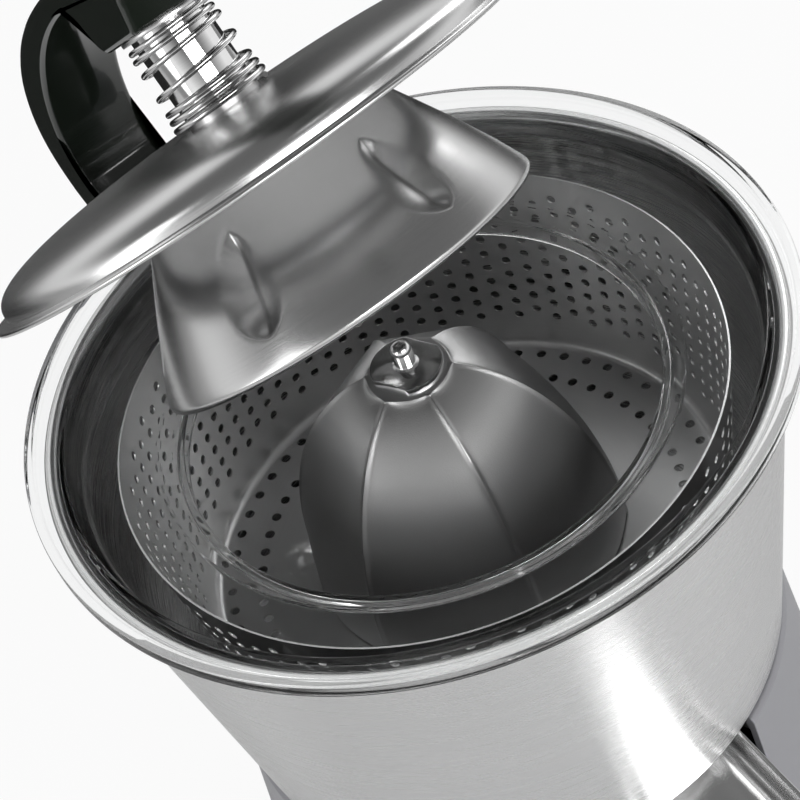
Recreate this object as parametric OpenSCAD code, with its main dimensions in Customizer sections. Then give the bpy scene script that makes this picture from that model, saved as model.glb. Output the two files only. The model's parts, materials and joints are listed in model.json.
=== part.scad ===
/* [Overall] */
// Height of the splash ring's upper edge above the worktop
rim_height = 300; // [285:1:315]
// Radius of the splash ring's upper edge
ring_radius = 95; // [93:0.5:97]
// Angle the lever stands open at rest
open_angle = 35; // [30:1:36]

/* [Housing] */
// Radius of the housing just under the bowl
housing_top_r = 76; // [75.5:0.1:78]
// Radius of the housing at its foot
housing_base_r = 95; // [90:0.5:100]
// Wall of the moulded housing
housing_wall = 3; // [2:0.25:4]
// Height of the rubber feet
foot_height = 6; // [4:0.5:9]
// Half width of the slot the spout passes through
slot_half = 22; // [20:0.5:26]
// Height of that slot below the bowl
slot_height = 24; // [20:0.5:30]
// Half width of the rear column
column_half = 25; // [22:0.5:30]

/* [Bowl] */
// Outer radius of the bowl at its foot
bowl_foot_r = 75.2; // [70:0.1:75.4]
// Outer radius of the bowl under its rolled edge
bowl_top_r = 89.3; // [85:0.1:90]
// Depth of the bowl below the splash ring's edge
bowl_depth = 110; // [100:0.5:120]
// Sheet thickness of the bowl
sheet = 1.2; // [0.8:0.1:1.6]
// Radius of the rolled edge
bead_r = 1.6; // [1:0.1:2]
// Outer radius of the tube round the shaft
hub_r = 15.2; // [14:0.1:18]

/* [Spout] */
// Half width of the spout
spout_half = 18; // [14:0.5:19]
// Reach of the spout from the bowl's centre
spout_reach = 128; // [110:1:140]
// Downward slope of the spout
spout_slope = 24; // [15:1:32]
// Depth of the spout's trough
spout_depth = 17; // [12:0.5:20]

/* [Strainer] */
// Outer radius of the basket at its upper edge
basket_top_r = 76.4; // [74:0.1:78]
// Outer radius of the basket wall at its foot
basket_foot_r = 70.3; // [68:0.1:72]
// Upper edge of the basket below the ring's edge
basket_top_drop = 14.2; // [13.9:0.1:16]
// Basket floor below the ring's edge
basket_floor_drop = 72; // [68:0.5:76]
// Sheet thickness of the basket
basket_sheet = 0.9; // [0.6:0.1:1.2]
// Diameter of the holes in the basket wall
wall_hole = 2.5; // [2:0.1:3]
// Vertical pitch of the wall holes
wall_pitch = 4.75; // [4.2:0.05:5]
// Columns of holes round the wall
wall_columns = 80; // [60:2:80]
// Rows of holes in each column
wall_rows = 9; // [6:1:9]
// Diameter of the holes in the basket floor
floor_hole = 2.7; // [2:0.1:3]
// Holes in each floor ring
floor_count = 60; // [48:1:60]
// Radius of the outer floor ring of holes
floor_ring_out = 65.5; // [64:0.1:66]
// Radius of the inner floor ring of holes
floor_ring_in = 57; // [54:0.1:60]

/* [Splash ring] */
// Inner radius of the lip round the opening
lip_r = 59.4; // [58:0.1:61]
// Wall of the clear ring
ring_wall = 2; // [1.5:0.1:2.4]
// Depth of the ring's floor at its outer edge
ring_floor_drop = 11.4; // [10.5:0.1:11.6]

/* [Reamer] */
// Widest radius of the reamer over its lobes
reamer_r = 44.6; // [42:0.1:46]
// Offset of each lobe's centre from the axis
lobe_offset = 8; // [5:0.25:10]
// Number of lobes
lobes = 6; // [5:1:8]
// Height of the thin ribs in the seams
rib_height = 0.7; // [0.4:0.1:1]
// Turn of the first seam from the front
seam_turn = -11; // [-30:1:30]
// Upper end of the lobes below the ring's edge
reamer_top_drop = 5; // [4:0.25:7]

/* [Press head] */
// Outer radius of the lid's flange
lid_flange_r = 75; // [73:0.25:75.5]
// Radius of the lid's raised part
lid_dome_r = 70.7; // [68:0.1:71]
// Height of the lid's raised part over its flange
lid_dome_h = 14.8; // [12:0.1:15.5]
// Radius of the press cup's lower edge
cup_r = 51.5; // [50:0.1:52.3]
// Lower edge of the press cup under the lid's flange
cup_drop = 37; // [34:0.25:38]
// Travel of the press head against its spring
press_travel = 8; // [5:0.5:9]
// Radius of the guide post
post_r = 9.5; // [9:0.1:10]
// Wire diameter of the spring
wire = 1.5; // [1.2:0.1:1.6]
// Mean radius of the spring
spring_r = 12.8; // [12.4:0.1:13.2]
// Turns of the spring
spring_turns = 7; // [6:1:8]

/* [Lever] */
// Distance of the hinge behind the bowl's centre
hinge_back = 104; // [103:0.25:105]
// Half width of the lever arm
arm_half = 12; // [11.5:0.25:13]
// Reach of the handle in front of the bowl's centre with the lever down
handle_reach = 150; // [130:1:165]
// Radius of the eye round the hinge pin
eye_r = 12; // [11:0.25:13]
// Radius of the hinge pin
pin_r = 4; // [3.5:0.1:5]

/* [Drive] */
// Tooth size of the gears
gear_module = 0.9; // [0.8:0.05:0.95]
// Teeth of the motor pinion
pinion_teeth = 16; // [16:4:20]
// Teeth of the drive gear
gear_teeth = 64; // [60:4:68]
// Radius of the drive shaft
shaft_r = 5; // [4.5:0.1:5.5]
// Outer radius of the motor
motor_r = 30; // [27:0.5:32]

/* [Hidden] */
$fn = 72;

// Clearances shared by the pieces
cut = 1;
run_gap = 0.06;
seat_gap = 0.02;
side_gap = 0.3;
free_gap = 0.5;

// Heights from the worktop up
rim = rim_height;
bowl_foot = rim - bowl_depth;
deck_top = bowl_foot - 1.5;
deck_thick = 4;
deck_under = deck_top - deck_thick;
base_top = foot_height + 3;
flare = (housing_base_r - housing_top_r) / (deck_top - foot_height);
function housing_r(z) = housing_top_r + (deck_top - z) * flare;

// Bearing boss in the middle of the deck
boss_r = hub_r - sheet - 0.2;
boss_top = bowl_foot + 26;
seal_r = boss_r - 2.5;
seal_h = 5;
bush_out = shaft_r + 3;
boss_under = deck_under - 6;
seat_in = 40;
seat_out = 58;

// Screw posts for the base plate
screw_ring = housing_r(base_top) - housing_wall - 6;
screw_r = 1.5;
screw_len = 14;
foot_ring = 66;
foot_r = 9;
plate_r = housing_r(base_top) - housing_wall - free_gap;

// Hinge and lever heights with the lever down
lid_rise = 62.3;
axis_drop = 5.9;
half_tan = tan(open_angle / 2);
hinge_z = rim - axis_drop - hinge_back * half_tan;
flange_z = rim - axis_drop + lid_rise - 2 * hinge_back * half_tan;
flange_thick = 1.2;
dome_base = flange_z + flange_thick + 0.3;
dome_top = dome_base + lid_dome_h;
boss_bottom = dome_top + 22.9;
arm_under = boss_bottom + 15.3;
arm_top = arm_under + 7;
arm_level = flange_z + 10.7;
arm_back = hinge_back + 19;
arm_front = hinge_back + 1;
inner_start = 23;
outer_start = 30;
boss_front = -13;
boss_rear = 18;
post_top = boss_bottom + 7.2;
bore_top = post_top + press_travel + 1;
cheek_in = arm_half + side_gap + 1;
column_back = hinge_back + 18;
column_front = hinge_back - eye_r - 3.4;
column_corner = 3.5;
column_top = hinge_z + eye_r + 2;

// Curve helpers: a quarter of a superellipse, from the level side to the upright side
function bent(a, b, n, t) = [a * pow(sin(t), 2 / n), b * pow(cos(t), 2 / n)];
function quarter(a, b, n, steps) = [for (i = [0 : steps]) bent(a, b, n, 90 * i / steps)];
function shifted(list, dx, dy) = [for (p = list) [p[0] + dx, p[1] + dy]];
function flipped(list) = [for (i = [len(list) - 1 : -1 : 0]) list[i]];

// Side outline of the lever with the lever down, as distance behind the bowl and height
arm_outer = shifted(quarter(arm_back - outer_start, arm_top - arm_level, 2.4, 24), outer_start, arm_level);
arm_inner = shifted(quarter(arm_front - inner_start, arm_under - arm_level, 2, 24), inner_start, arm_level);
arm_outline = concat(
  [[-handle_reach + 8, arm_top - 3]],
  arm_outer,
  [[hinge_back + eye_r - 0.5, hinge_z + 4], [hinge_back - eye_r + 1.5, hinge_z + 6]],
  flipped(arm_inner),
  [[boss_rear + 1.5, arm_under - 4], [boss_rear, boss_bottom + 2], [boss_rear - 2, boss_bottom],
   [boss_front, boss_bottom], [boss_front - 5, boss_bottom + 9], [boss_front - 14, arm_under - 4.5],
   [-60, arm_under - 7], [-handle_reach + 8, arm_under - 10]]);

// The row's origin is under the middle of the standing outline, so the bowl stands off it
rear_reach = max([for (p = arm_outline)
  hinge_back + (p[0] - hinge_back) * cos(open_angle) + (p[1] - hinge_z) * sin(open_angle)]);
axis_y = (spout_reach - rear_reach) / 2;

// Gear sizes and positions
gear_r = gear_module * gear_teeth / 2;
pinion_r = gear_module * pinion_teeth / 2;
motor_back = gear_r + pinion_r;
bridge_top = 152;
bridge_thick = 4;
gear_low = bridge_top + 3;
gear_thick = 9;
pillar_spots = [[44, -30], [-44, -30], [49, 45.5], [-49, 45.5]];
pillar_r = 5;
motor_top = bridge_top - bridge_thick;
motor_low = 62;
rotor_r = 3;

// Switch on the right side
switch_z = 46;
switch_face = housing_r(switch_z - 18) + 1;
switch_half_y = 8;
switch_half_z = 12;
rocker_r = 9.6;

// Reamer heights
reamer_foot = rim - basket_floor_drop + 1;
reamer_crown = rim - reamer_top_drop;
socket_top = reamer_foot + 34;
platform_r = 10.4;
platform_z = reamer_crown - 3.2;

// Spring between the lid and the arm
spring_low = dome_top + wire / 2 + 0.15;
spring_washer_t = 1;
spring_high = boss_bottom - spring_washer_t - wire / 2 - 0.15;

module stand() {
  translate([0, axis_y, 0]) children();
}

// Turns the pieces of the lever from down to their open rest position
module opened() {
  stand()
    translate([0, hinge_back, hinge_z])
      rotate([-open_angle, 0, 0])
        translate([0, -hinge_back, -hinge_z])
          children();
}

// A block with square edges between two corners
module block(low, high) {
  translate(low) cube(high - low);
}

// A bar along X with its middle on the hinge side of the column
module xbar(r, x0, x1) {
  translate([x0, 0, 0]) rotate([0, 90, 0]) cylinder(r = r, h = x1 - x0);
}

// Plan of the rear column, square to the housing and rounded behind
module column_plan(inset) {
  corner = column_corner - inset;
  half = column_half - inset;
  back = column_back - inset;
  translate([-half, 60]) square([2 * half, back - 60 - corner]);
  translate([-half + corner, 60]) square([2 * half - 2 * corner, back - 60]);
  for (s = [-1, 1]) translate([s * (half - corner), back - corner]) circle(r = corner);
}

module housing_shell() {
  color([0.58, 0.58, 0.6])
  stand()
  difference() {
    union() {
      rotate_extrude()
        polygon([
          [housing_base_r - 1.4, foot_height], [housing_base_r, foot_height + 4],
          [housing_r(deck_top - 1), deck_top - 1], [housing_top_r - 1, deck_top],
          [seat_out, deck_top], [seat_out, bowl_foot], [seat_in, bowl_foot], [seat_in, deck_top],
          [boss_r, deck_top], [boss_r, boss_top], [seal_r, boss_top], [seal_r, boss_top - seal_h],
          [bush_out + seat_gap, boss_top - seal_h], [bush_out + seat_gap, boss_under],
          [boss_r, boss_under], [boss_r, deck_under],
          [housing_r(deck_under) - housing_wall - 1, deck_under],
          [housing_r(deck_under - 2) - housing_wall, deck_under - 2],
          [housing_r(foot_height + 4) - housing_wall, foot_height + 4],
          [housing_r(foot_height + 4) - housing_wall, foot_height]]);
      // rear column with its two cheeks
      difference() {
        union() {
          translate([0, 0, foot_height])
            linear_extrude(column_top - eye_r - 2 - foot_height) column_plan(0);
          translate([0, hinge_back, hinge_z]) xbar(eye_r + 2, -column_half, column_half);
        }
        // room for the bowl in front of the column and for the hollow of the housing
        translate([0, 0, deck_top]) cylinder(r = column_front, h = rim);
        translate([0, 0, foot_height - cut])
          cylinder(r1 = housing_r(foot_height - cut) - housing_wall / 2,
            r2 = housing_r(deck_top + cut) - housing_wall / 2, h = deck_top - foot_height + 2 * cut);
        // slot for the lever's eye
        block([-cheek_in, 60, hinge_z - eye_r - 3], [cheek_in, column_back + 30, column_top + cut]);
        // hollow of the column
        translate([0, 0, base_top])
          linear_extrude(deck_top - housing_wall - base_top) column_plan(housing_wall);
        translate([0, hinge_back, hinge_z]) xbar(pin_r + seat_gap, -column_half - cut, column_half + cut);
        translate([0, column_back, 26]) rotate([90, 0, 0]) cylinder(r = 5.6, h = 20, center = true);
      }
      // pad for the switch
      difference() {
        block([60, -17, switch_z - 18], [switch_face, 17, switch_z + 18]);
        translate([0, 0, foot_height])
          cylinder(r1 = housing_r(foot_height) - housing_wall / 2, r2 = housing_r(deck_top) - housing_wall / 2,
            h = deck_top - foot_height);
      }
      // posts for the base screws
      for (a = [45 : 90 : 315])
        rotate([0, 0, a])
          translate([screw_ring, 0, base_top])
            difference() {
              union() {
                cylinder(r = 5, h = 22);
                block([0, -3, 0], [housing_wall + 2.5, 3, 22]);
              }
              translate([0, 0, -cut]) cylinder(r = screw_r + run_gap, h = screw_len + cut);
            }
    }
    // slot for the spout
    block([-slot_half, -housing_base_r, bowl_foot - slot_height], [slot_half, -seat_in + 2, bowl_foot + cut]);
    // opening for the switch
    block([60, -switch_half_y - run_gap, switch_z - switch_half_z - run_gap],
      [switch_face + cut, switch_half_y + run_gap, switch_z + switch_half_z + run_gap]);
  }
}

module base_plate() {
  color([0.3, 0.3, 0.32])
  stand()
  difference() {
    translate([0, 0, foot_height]) cylinder(r = plate_r, h = base_top - foot_height);
    for (a = [45 : 90 : 315])
      rotate([0, 0, a]) {
        translate([screw_ring, 0, foot_height - cut]) cylinder(r = screw_r + 0.3, h = 6);
        rotate([0, 0, 22]) translate([foot_ring, 0, foot_height - cut]) cylinder(r = 3 + seat_gap, h = 6);
      }
  }
}

module rubber_feet() {
  color([0.08, 0.08, 0.08])
  stand()
  for (a = [45 : 90 : 315])
    rotate([0, 0, a + 22])
      translate([foot_ring, 0, 0]) {
        cylinder(r1 = foot_r - 1, r2 = foot_r, h = foot_height);
        cylinder(r = 3, h = base_top);
      }
}

module base_screws() {
  color([0.7, 0.7, 0.72])
  stand()
  for (a = [45 : 90 : 315])
    rotate([0, 0, a])
      translate([screw_ring, 0, foot_height - 2]) {
        cylinder(r = 3.2, h = 2);
        cylinder(r = screw_r, h = screw_len);
      }
}

module cord_gland() {
  color([0.1, 0.1, 0.1])
  stand()
  translate([0, column_back - housing_wall - 2, 26])
    rotate([-90, 0, 0])
      difference() {
        union() {
          cylinder(r = 5.5, h = housing_wall + 4);
          translate([0, 0, housing_wall + 2]) cylinder(r = 8, h = 3);
        }
        translate([0, 0, -cut]) cylinder(r = 3.4, h = 12);
      }
}

module switch_frame() {
  color([0.07, 0.07, 0.07])
  stand()
  difference() {
    union() {
      block([switch_face - 14, -switch_half_y, switch_z - switch_half_z],
        [switch_face + cut, switch_half_y, switch_z + switch_half_z]);
      block([switch_face, -switch_half_y - 2, switch_z - switch_half_z - 2],
        [switch_face + 1.6, switch_half_y + 2, switch_z + switch_half_z + 2]);
    }
    block([switch_face - 12.5, -switch_half_y + 1.5, switch_z - rocker_r - side_gap - 0.2],
      [switch_face + 2, switch_half_y - 1.5, switch_z + rocker_r + side_gap + 0.2]);
  }
}

module switch_rocker() {
  color([0.12, 0.12, 0.12])
  stand()
  translate([switch_face - 2.2, 0, switch_z])
    rotate([0, 9, 0])
      intersection() {
        rotate([90, 0, 0]) cylinder(r = rocker_r, h = 2 * switch_half_y - 3 - 2 * side_gap, center = true);
        rotate([90, 0, 0])
          linear_extrude(2 * switch_half_y - 3 - 2 * side_gap, center = true)
            polygon([[-4, -4], [2, -rocker_r - cut], [5.4, -rocker_r - cut], [3.6, 0],
              [5.4, rocker_r + cut], [2, rocker_r + cut], [-4, 4]]);
      }
}

module bridge_plate() {
  color([0.62, 0.62, 0.64])
  stand()
  difference() {
    translate([0, 0, bridge_top - bridge_thick])
      linear_extrude(bridge_thick)
        polygon([[-52, -38], [52, -38], [58, 40], [54, 52], [-54, 52], [-58, 40]]);
    translate([0, 0, bridge_top - 2 * bridge_thick]) cylinder(r = bush_out + seat_gap, h = 3 * bridge_thick);
    translate([0, motor_back, bridge_top - 2 * bridge_thick]) cylinder(r = 8, h = 3 * bridge_thick);
    for (p = pillar_spots)
      translate([p[0], p[1], bridge_top - 2 * bridge_thick]) cylinder(r = screw_r + 0.3, h = 3 * bridge_thick);
  }
}

module bridge_pillars() {
  color([0.75, 0.75, 0.77])
  stand()
  for (p = pillar_spots)
    translate([p[0], p[1], bridge_top])
      difference() {
        cylinder(r = pillar_r, h = deck_under - bridge_top);
        translate([0, 0, -cut]) cylinder(r = screw_r + run_gap, h = 14);
      }
}

module pillar_screws() {
  color([0.7, 0.7, 0.72])
  stand()
  for (p = pillar_spots)
    translate([p[0], p[1], motor_top - 2]) {
      cylinder(r = 3.2, h = 2);
      cylinder(r = screw_r, h = 2 + bridge_thick + 10);
    }
}

module motor_can() {
  color([0.66, 0.66, 0.68])
  stand()
  translate([0, motor_back, motor_low])
    difference() {
      union() {
        cylinder(r = motor_r, h = motor_top - motor_low);
        translate([0, 0, -6]) cylinder(r = 9, h = 7);
      }
      translate([0, 0, 2.5]) cylinder(r = motor_r - 2, h = motor_top - motor_low - 5);
      translate([0, 0, -7]) cylinder(r = rotor_r + run_gap, h = motor_top - motor_low + 14);
    }
}

module motor_magnets() {
  color([0.2, 0.2, 0.22])
  stand()
  translate([0, motor_back, motor_low + 14])
    difference() {
      cylinder(r = motor_r - 2, h = 54);
      translate([0, 0, -cut]) cylinder(r = motor_r - 8, h = 56);
    }
}

module motor_rotor() {
  color([0.55, 0.4, 0.3])
  stand()
  translate([0, motor_back, 0]) {
    translate([0, 0, motor_low - 5]) cylinder(r = rotor_r, h = gear_low + gear_thick + 1 - motor_low + 5);
    translate([0, 0, motor_low + 16]) cylinder(r = motor_r - 9, h = 50);
  }
}

// A spur wheel with straight-sided teeth, its first tooth along +X
module spur(teeth, r_bore) {
  r_pitch = gear_module * teeth / 2;
  r_tip = r_pitch + 0.75 * gear_module;
  r_root = r_pitch - 1.15 * gear_module;
  step = 360 / teeth;
  linear_extrude(gear_thick)
    difference() {
      polygon([for (i = [0 : teeth - 1])
        for (q = [[r_root, -0.33], [r_pitch, -0.2], [r_tip, -0.1], [r_tip, 0.1], [r_pitch, 0.2], [r_root, 0.33]])
          [q[0] * cos((i + q[1]) * step), q[0] * sin((i + q[1]) * step)]]);
      circle(r = r_bore);
    }
}

module pinion() {
  color([0.72, 0.72, 0.74])
  stand()
  translate([0, motor_back, gear_low])
    rotate([0, 0, 180 / pinion_teeth])
      spur(pinion_teeth, rotor_r + seat_gap);
}

module drive_gear() {
  color([0.85, 0.83, 0.75])
  stand()
  translate([0, 0, gear_low]) {
    spur(gear_teeth, shaft_r + seat_gap);
    translate([0, 0, gear_thick])
      difference() {
        cylinder(r = 10, h = boss_under - gear_low - gear_thick - side_gap);
        translate([0, 0, -cut]) cylinder(r = shaft_r + seat_gap, h = 40);
      }
  }
}

module drive_shaft() {
  color([0.78, 0.78, 0.8])
  stand() {
    translate([0, 0, bridge_top - bridge_thick - 4]) cylinder(r = shaft_r, h = reamer_foot + 6 - bridge_top + bridge_thick + 4);
    translate([0, 0, reamer_foot + 5])
      rotate([0, 0, seam_turn - 90]) cylinder(r = shaft_r * 0.96, h = socket_top - reamer_foot - 6, $fn = 6);
  }
}

module lower_bush() {
  color([0.72, 0.55, 0.3])
  stand()
  translate([0, 0, bridge_top - bridge_thick])
    difference() {
      union() {
        cylinder(r = bush_out, h = bridge_thick);
        translate([0, 0, bridge_thick]) cylinder(r = bush_out + 2, h = 1.5);
      }
      translate([0, 0, -4]) cylinder(r = shaft_r + run_gap, h = 12);
    }
}

module upper_bush() {
  color([0.72, 0.55, 0.3])
  stand()
  translate([0, 0, boss_under])
    difference() {
      cylinder(r = bush_out, h = boss_top - seal_h - boss_under);
      translate([0, 0, -cut]) cylinder(r = shaft_r + run_gap, h = boss_top);
    }
}

module shaft_seal() {
  color([0.12, 0.12, 0.12])
  stand()
  translate([0, 0, boss_top - seal_h])
    difference() {
      cylinder(r = seal_r - seat_gap, h = seal_h);
      translate([0, 0, -cut]) cylinder(r = shaft_r + run_gap, h = seal_h + 2);
      translate([0, 0, 2]) cylinder(r1 = shaft_r + 1.5, r2 = shaft_r + 3, h = seal_h);
    }
}

module bowl() {
  lean = (bowl_top_r - bowl_foot_r) / (bowl_depth - 8);
  color([0.8, 0.8, 0.8])
  stand()
  difference() {
    union() {
      rotate_extrude()
        polygon([
          [hub_r - sheet, bowl_foot], [bowl_foot_r - 1.2, bowl_foot], [bowl_foot_r, bowl_foot + 1.2],
          [bowl_top_r, rim - 8], [bowl_top_r + 0.6, rim - 4 - bead_r],
          [bowl_top_r + 0.6 - sheet, rim - 4 - bead_r], [bowl_top_r - sheet, rim - 8],
          [bowl_foot_r - sheet + lean, bowl_foot + 3], [bowl_foot_r - sheet - 2, bowl_foot + sheet],
          [hub_r, bowl_foot + sheet], [hub_r, rim - basket_floor_drop - basket_sheet],
          [hub_r - sheet, rim - basket_floor_drop - basket_sheet]]);
      translate([0, 0, rim - 4 - bead_r])
        rotate_extrude()
          translate([bowl_top_r + 0.5, 0]) circle(r = bead_r, $fn = 24);
    }
    // outlet over the spout
    block([-spout_half + 4, -66, bowl_foot - cut], [spout_half - 4, -46, bowl_foot + sheet + 0.5]);
  }
}

// Cross-section of the trough, open upwards
module trough(w, d, r) {
  difference() {
    union() {
      translate([-w, -d + r]) square([2 * w, d - r]);
      translate([-w + r, -d]) square([2 * w - 2 * r, d]);
      for (s = [-1, 1]) translate([s * (w - r), -d + r]) circle(r = r, $fn = 48);
    }
    translate([-w - cut, 0]) square([2 * w + 2 * cut, d]);
  }
}

module spout() {
  back_y = -42;
  edge_y = -bowl_foot_r - 1.5;
  edge_z = bowl_foot - 3.5;
  run = (spout_reach + edge_y) / cos(spout_slope);
  lead = (-edge_y + back_y) / cos(spout_slope) + 8;
  color([0.82, 0.82, 0.82])
  stand()
  difference() {
    translate([0, edge_y, edge_z])
      rotate([90 + spout_slope, 0, 0])
        translate([0, 0, -lead])
          difference() {
            linear_extrude(lead + run) trough(spout_half, spout_depth, 9);
            translate([0, 0, -cut])
              linear_extrude(lead + run + 2 * cut)
                translate([0, cut]) trough(spout_half - sheet, spout_depth - sheet + cut, 9 - sheet);
          }
    // the sheet ends under the bowl and square at its inner end
    block([-40, -140, bowl_foot], [40, 0, rim]);
    block([-40, back_y, bowl_foot - 60], [40, 20, rim]);
    block([-40, -spout_reach - 60, bowl_foot - 80], [40, -spout_reach, rim]);
  }
}

// Ring of points of a many-sided basket wall
function wall_ring(r, z) = [for (i = [0 : wall_columns - 1])
  [r * cos(360 * i / wall_columns), r * sin(360 * i / wall_columns), z]];

// Faces that join ring a to ring b all round
function band(a, b, n) = [for (i = [0 : n - 1])
  [a * n + i, b * n + i, b * n + (i + 1) % n, a * n + (i + 1) % n]];

module strainer() {
  n = wall_columns;
  z_low = rim - basket_floor_drop + 3.1;
  z_high = rim - basket_top_drop;
  lean = atan((basket_top_r - basket_foot_r) / (z_high - z_low));
  floor_z = rim - basket_floor_drop;
  foot_in = 2.6;
  color([0.62, 0.62, 0.63])
  stand()
  // a column of holes faces the front
  rotate([0, 0, 1.5 * 360 / n])
  difference() {
    polyhedron(
      points = concat(
        wall_ring(hub_r - 3, floor_z - basket_sheet), wall_ring(basket_foot_r - foot_in, floor_z - basket_sheet),
        wall_ring(basket_foot_r - 1.2, floor_z + 0.6),
        wall_ring(basket_foot_r, z_low), wall_ring(basket_top_r, z_high),
        wall_ring(basket_top_r - basket_sheet, z_high), wall_ring(basket_foot_r - basket_sheet, z_low),
        wall_ring(basket_foot_r - 1.9, floor_z + 1.2),
        wall_ring(basket_foot_r - foot_in - 0.4, floor_z), wall_ring(hub_r - 3, floor_z)),
      faces = concat(band(0, 1, n), band(1, 2, n), band(2, 3, n), band(3, 4, n), band(4, 5, n),
        band(5, 6, n), band(6, 7, n), band(7, 8, n), band(8, 9, n), band(9, 0, n)));
    for (i = [0 : n - 1])
      for (k = [0 : wall_rows - 1])
        rotate([0, 0, (i + 0.5) * 360 / n])
          translate([basket_foot_r, 0, rim - 61.5 + wall_pitch * (k + (i % 2) / 2)])
            rotate([0, 90 - lean, 0])
              translate([0, 0, -8]) cylinder(d = wall_hole, h = 18, $fn = 6);
    for (i = [0 : floor_count - 1])
      for (r = [floor_ring_in, floor_ring_out])
        rotate([0, 0, i * 360 / floor_count])
          translate([r, 0, floor_z - 4]) rotate([0, 0, 13]) cylinder(d = floor_hole, h = 8, $fn = 6);
  }
}

module splash_ring() {
  seat = rim - 4;
  plug = bowl_top_r - sheet - 0.9;
  color([0.85, 0.9, 0.92, 0.35])
  stand()
  rotate_extrude()
    polygon([
      [ring_radius, rim], [ring_radius - ring_wall, rim], [ring_radius - ring_wall - 0.8, rim - 1.6],
      [plug - 1.6, rim - 2], [plug - 3.4, rim - ring_floor_drop], [lip_r + 6, rim - ring_floor_drop - 1.8],
      [lip_r + 3, rim - 15], [lip_r + 2, rim - 15.9], [lip_r, rim - 15.9], [lip_r, rim - 20.4],
      [lip_r + 2, rim - 20.4], [lip_r + 2.4, rim - 17.8], [lip_r + 6.2, rim - ring_floor_drop - 2.3 - 1.4],
      [plug - 2.6, rim - ring_floor_drop - ring_wall], [plug - 1.4, rim - ring_floor_drop - 1],
      [plug, seat], [ring_radius, seat]]);
}

// Radius of the lobed body at a height fraction and an angle from a seam
function lobe_r(h) = (reamer_r - lobe_offset) * pow(1 - pow(h, 1.85), 1 / 1.85);
function body_r(h, a) =
  let (m = abs(a - 180 / lobes), e = lobe_offset, r = lobe_r(h))
  let (s = e * sin(m), inside = max(0.01, r * r - s * s))
  e * cos(m) + sqrt(inside);
function rib(a) = rib_height * pow(max(0, cos(a * lobes / 2)), 160);

// Radius of the six-sided socket at an angle from one of its corners
function socket_r(t) = (shaft_r - 0.08) * cos(30) / cos(t % 60 - 30);

module reamer() {
  per = 14;
  n = per * lobes;
  span = 67;
  levels = [0, 0.12, 0.24, 0.35, 0.45, 0.54, 0.62, 0.69, 0.75, 0.8, 0.845, 0.88, 0.91, 0.937, 0.96, 0.975];
  spots = [for (i = [0 : n - 1]) i * 360 / n];
  bore_r = shaft_r + 0.1;
  collar_z = reamer_foot + 7;
  pin_bore = 3 + seat_gap;
  // rings from the socket's ceiling down, out under the foot, up the lobes and into the pin's bore
  socket = [for (z = [socket_top, collar_z]) [for (t = spots) [socket_r(t), z]]];
  bore = [for (z = [collar_z, reamer_foot]) [for (t = spots) [bore_r, z]]];
  lobed = [for (h = levels) [for (t = spots)
    let (a = t % (360 / lobes)) [body_r(h, a) + rib(a), reamer_foot + h * span]]];
  crest = [for (t = spots) [body_r(0.985, t % (360 / lobes)) - 0.4, reamer_crown]];
  well = [for (t = spots) [platform_r, platform_z]];
  pin_hole = [for (z = [platform_z, platform_z - 9]) [for (t = spots) [pin_bore, z]]];
  rings = concat(socket, bore, lobed, [crest, well], pin_hole);
  m = len(rings);
  color([0.7, 0.7, 0.7])
  stand()
  polyhedron(
    points = [for (ring = rings) for (i = [0 : n - 1])
      [ring[i][0] * sin(spots[i] + seam_turn), -ring[i][0] * cos(spots[i] + seam_turn), ring[i][1]]],
    faces = concat(
      [[for (i = [0 : n - 1]) i]],
      [for (k = [0 : m - 2]) for (i = [0 : n - 1])
        [k * n + i, (k + 1) * n + i, k * n + (i + 1) % n]],
      [for (k = [0 : m - 2]) for (i = [0 : n - 1])
        [k * n + (i + 1) % n, (k + 1) * n + i, (k + 1) * n + (i + 1) % n]],
      [[for (i = [n - 1 : -1 : 0]) (m - 1) * n + i]]));
}

module reamer_cap() {
  color([0.85, 0.85, 0.85])
  stand()
  translate([0, 0, platform_z]) {
    intersection() {
      cylinder(r = 9, h = 2.2);
      rotate([0, 0, 20]) block([-7.6, -12, -cut], [7.6, 12, 5]);
    }
    translate([0, 0, -8.5]) cylinder(r = 3, h = 8.5 + 2.2);
    translate([0, 0, 2]) cylinder(r = 4, h = 1.2);
    translate([0, 0, 2]) cylinder(r = 2.6, h = 6.4);
    translate([0, 0, 8.4]) sphere(r = 2.6, $fn = 40);
  }
}

module hinge_pin() {
  color([0.78, 0.78, 0.8])
  stand() translate([0, hinge_back, hinge_z]) xbar(pin_r, -column_half, column_half);
}

module hinge_caps() {
  color([0.1, 0.1, 0.1])
  stand() translate([0, hinge_back, hinge_z])
    for (s = [0, 1]) mirror([s, 0, 0]) xbar(pin_r + 3, column_half, column_half + 2);
}

module friction_washers() {
  color([0.2, 0.2, 0.2])
  stand() translate([0, hinge_back, hinge_z])
    for (s = [0, 1]) mirror([s, 0, 0])
      difference() {
        xbar(eye_r - 1, arm_half + side_gap, cheek_in);
        xbar(pin_r + run_gap, 0, cheek_in + cut);
      }
}

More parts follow.
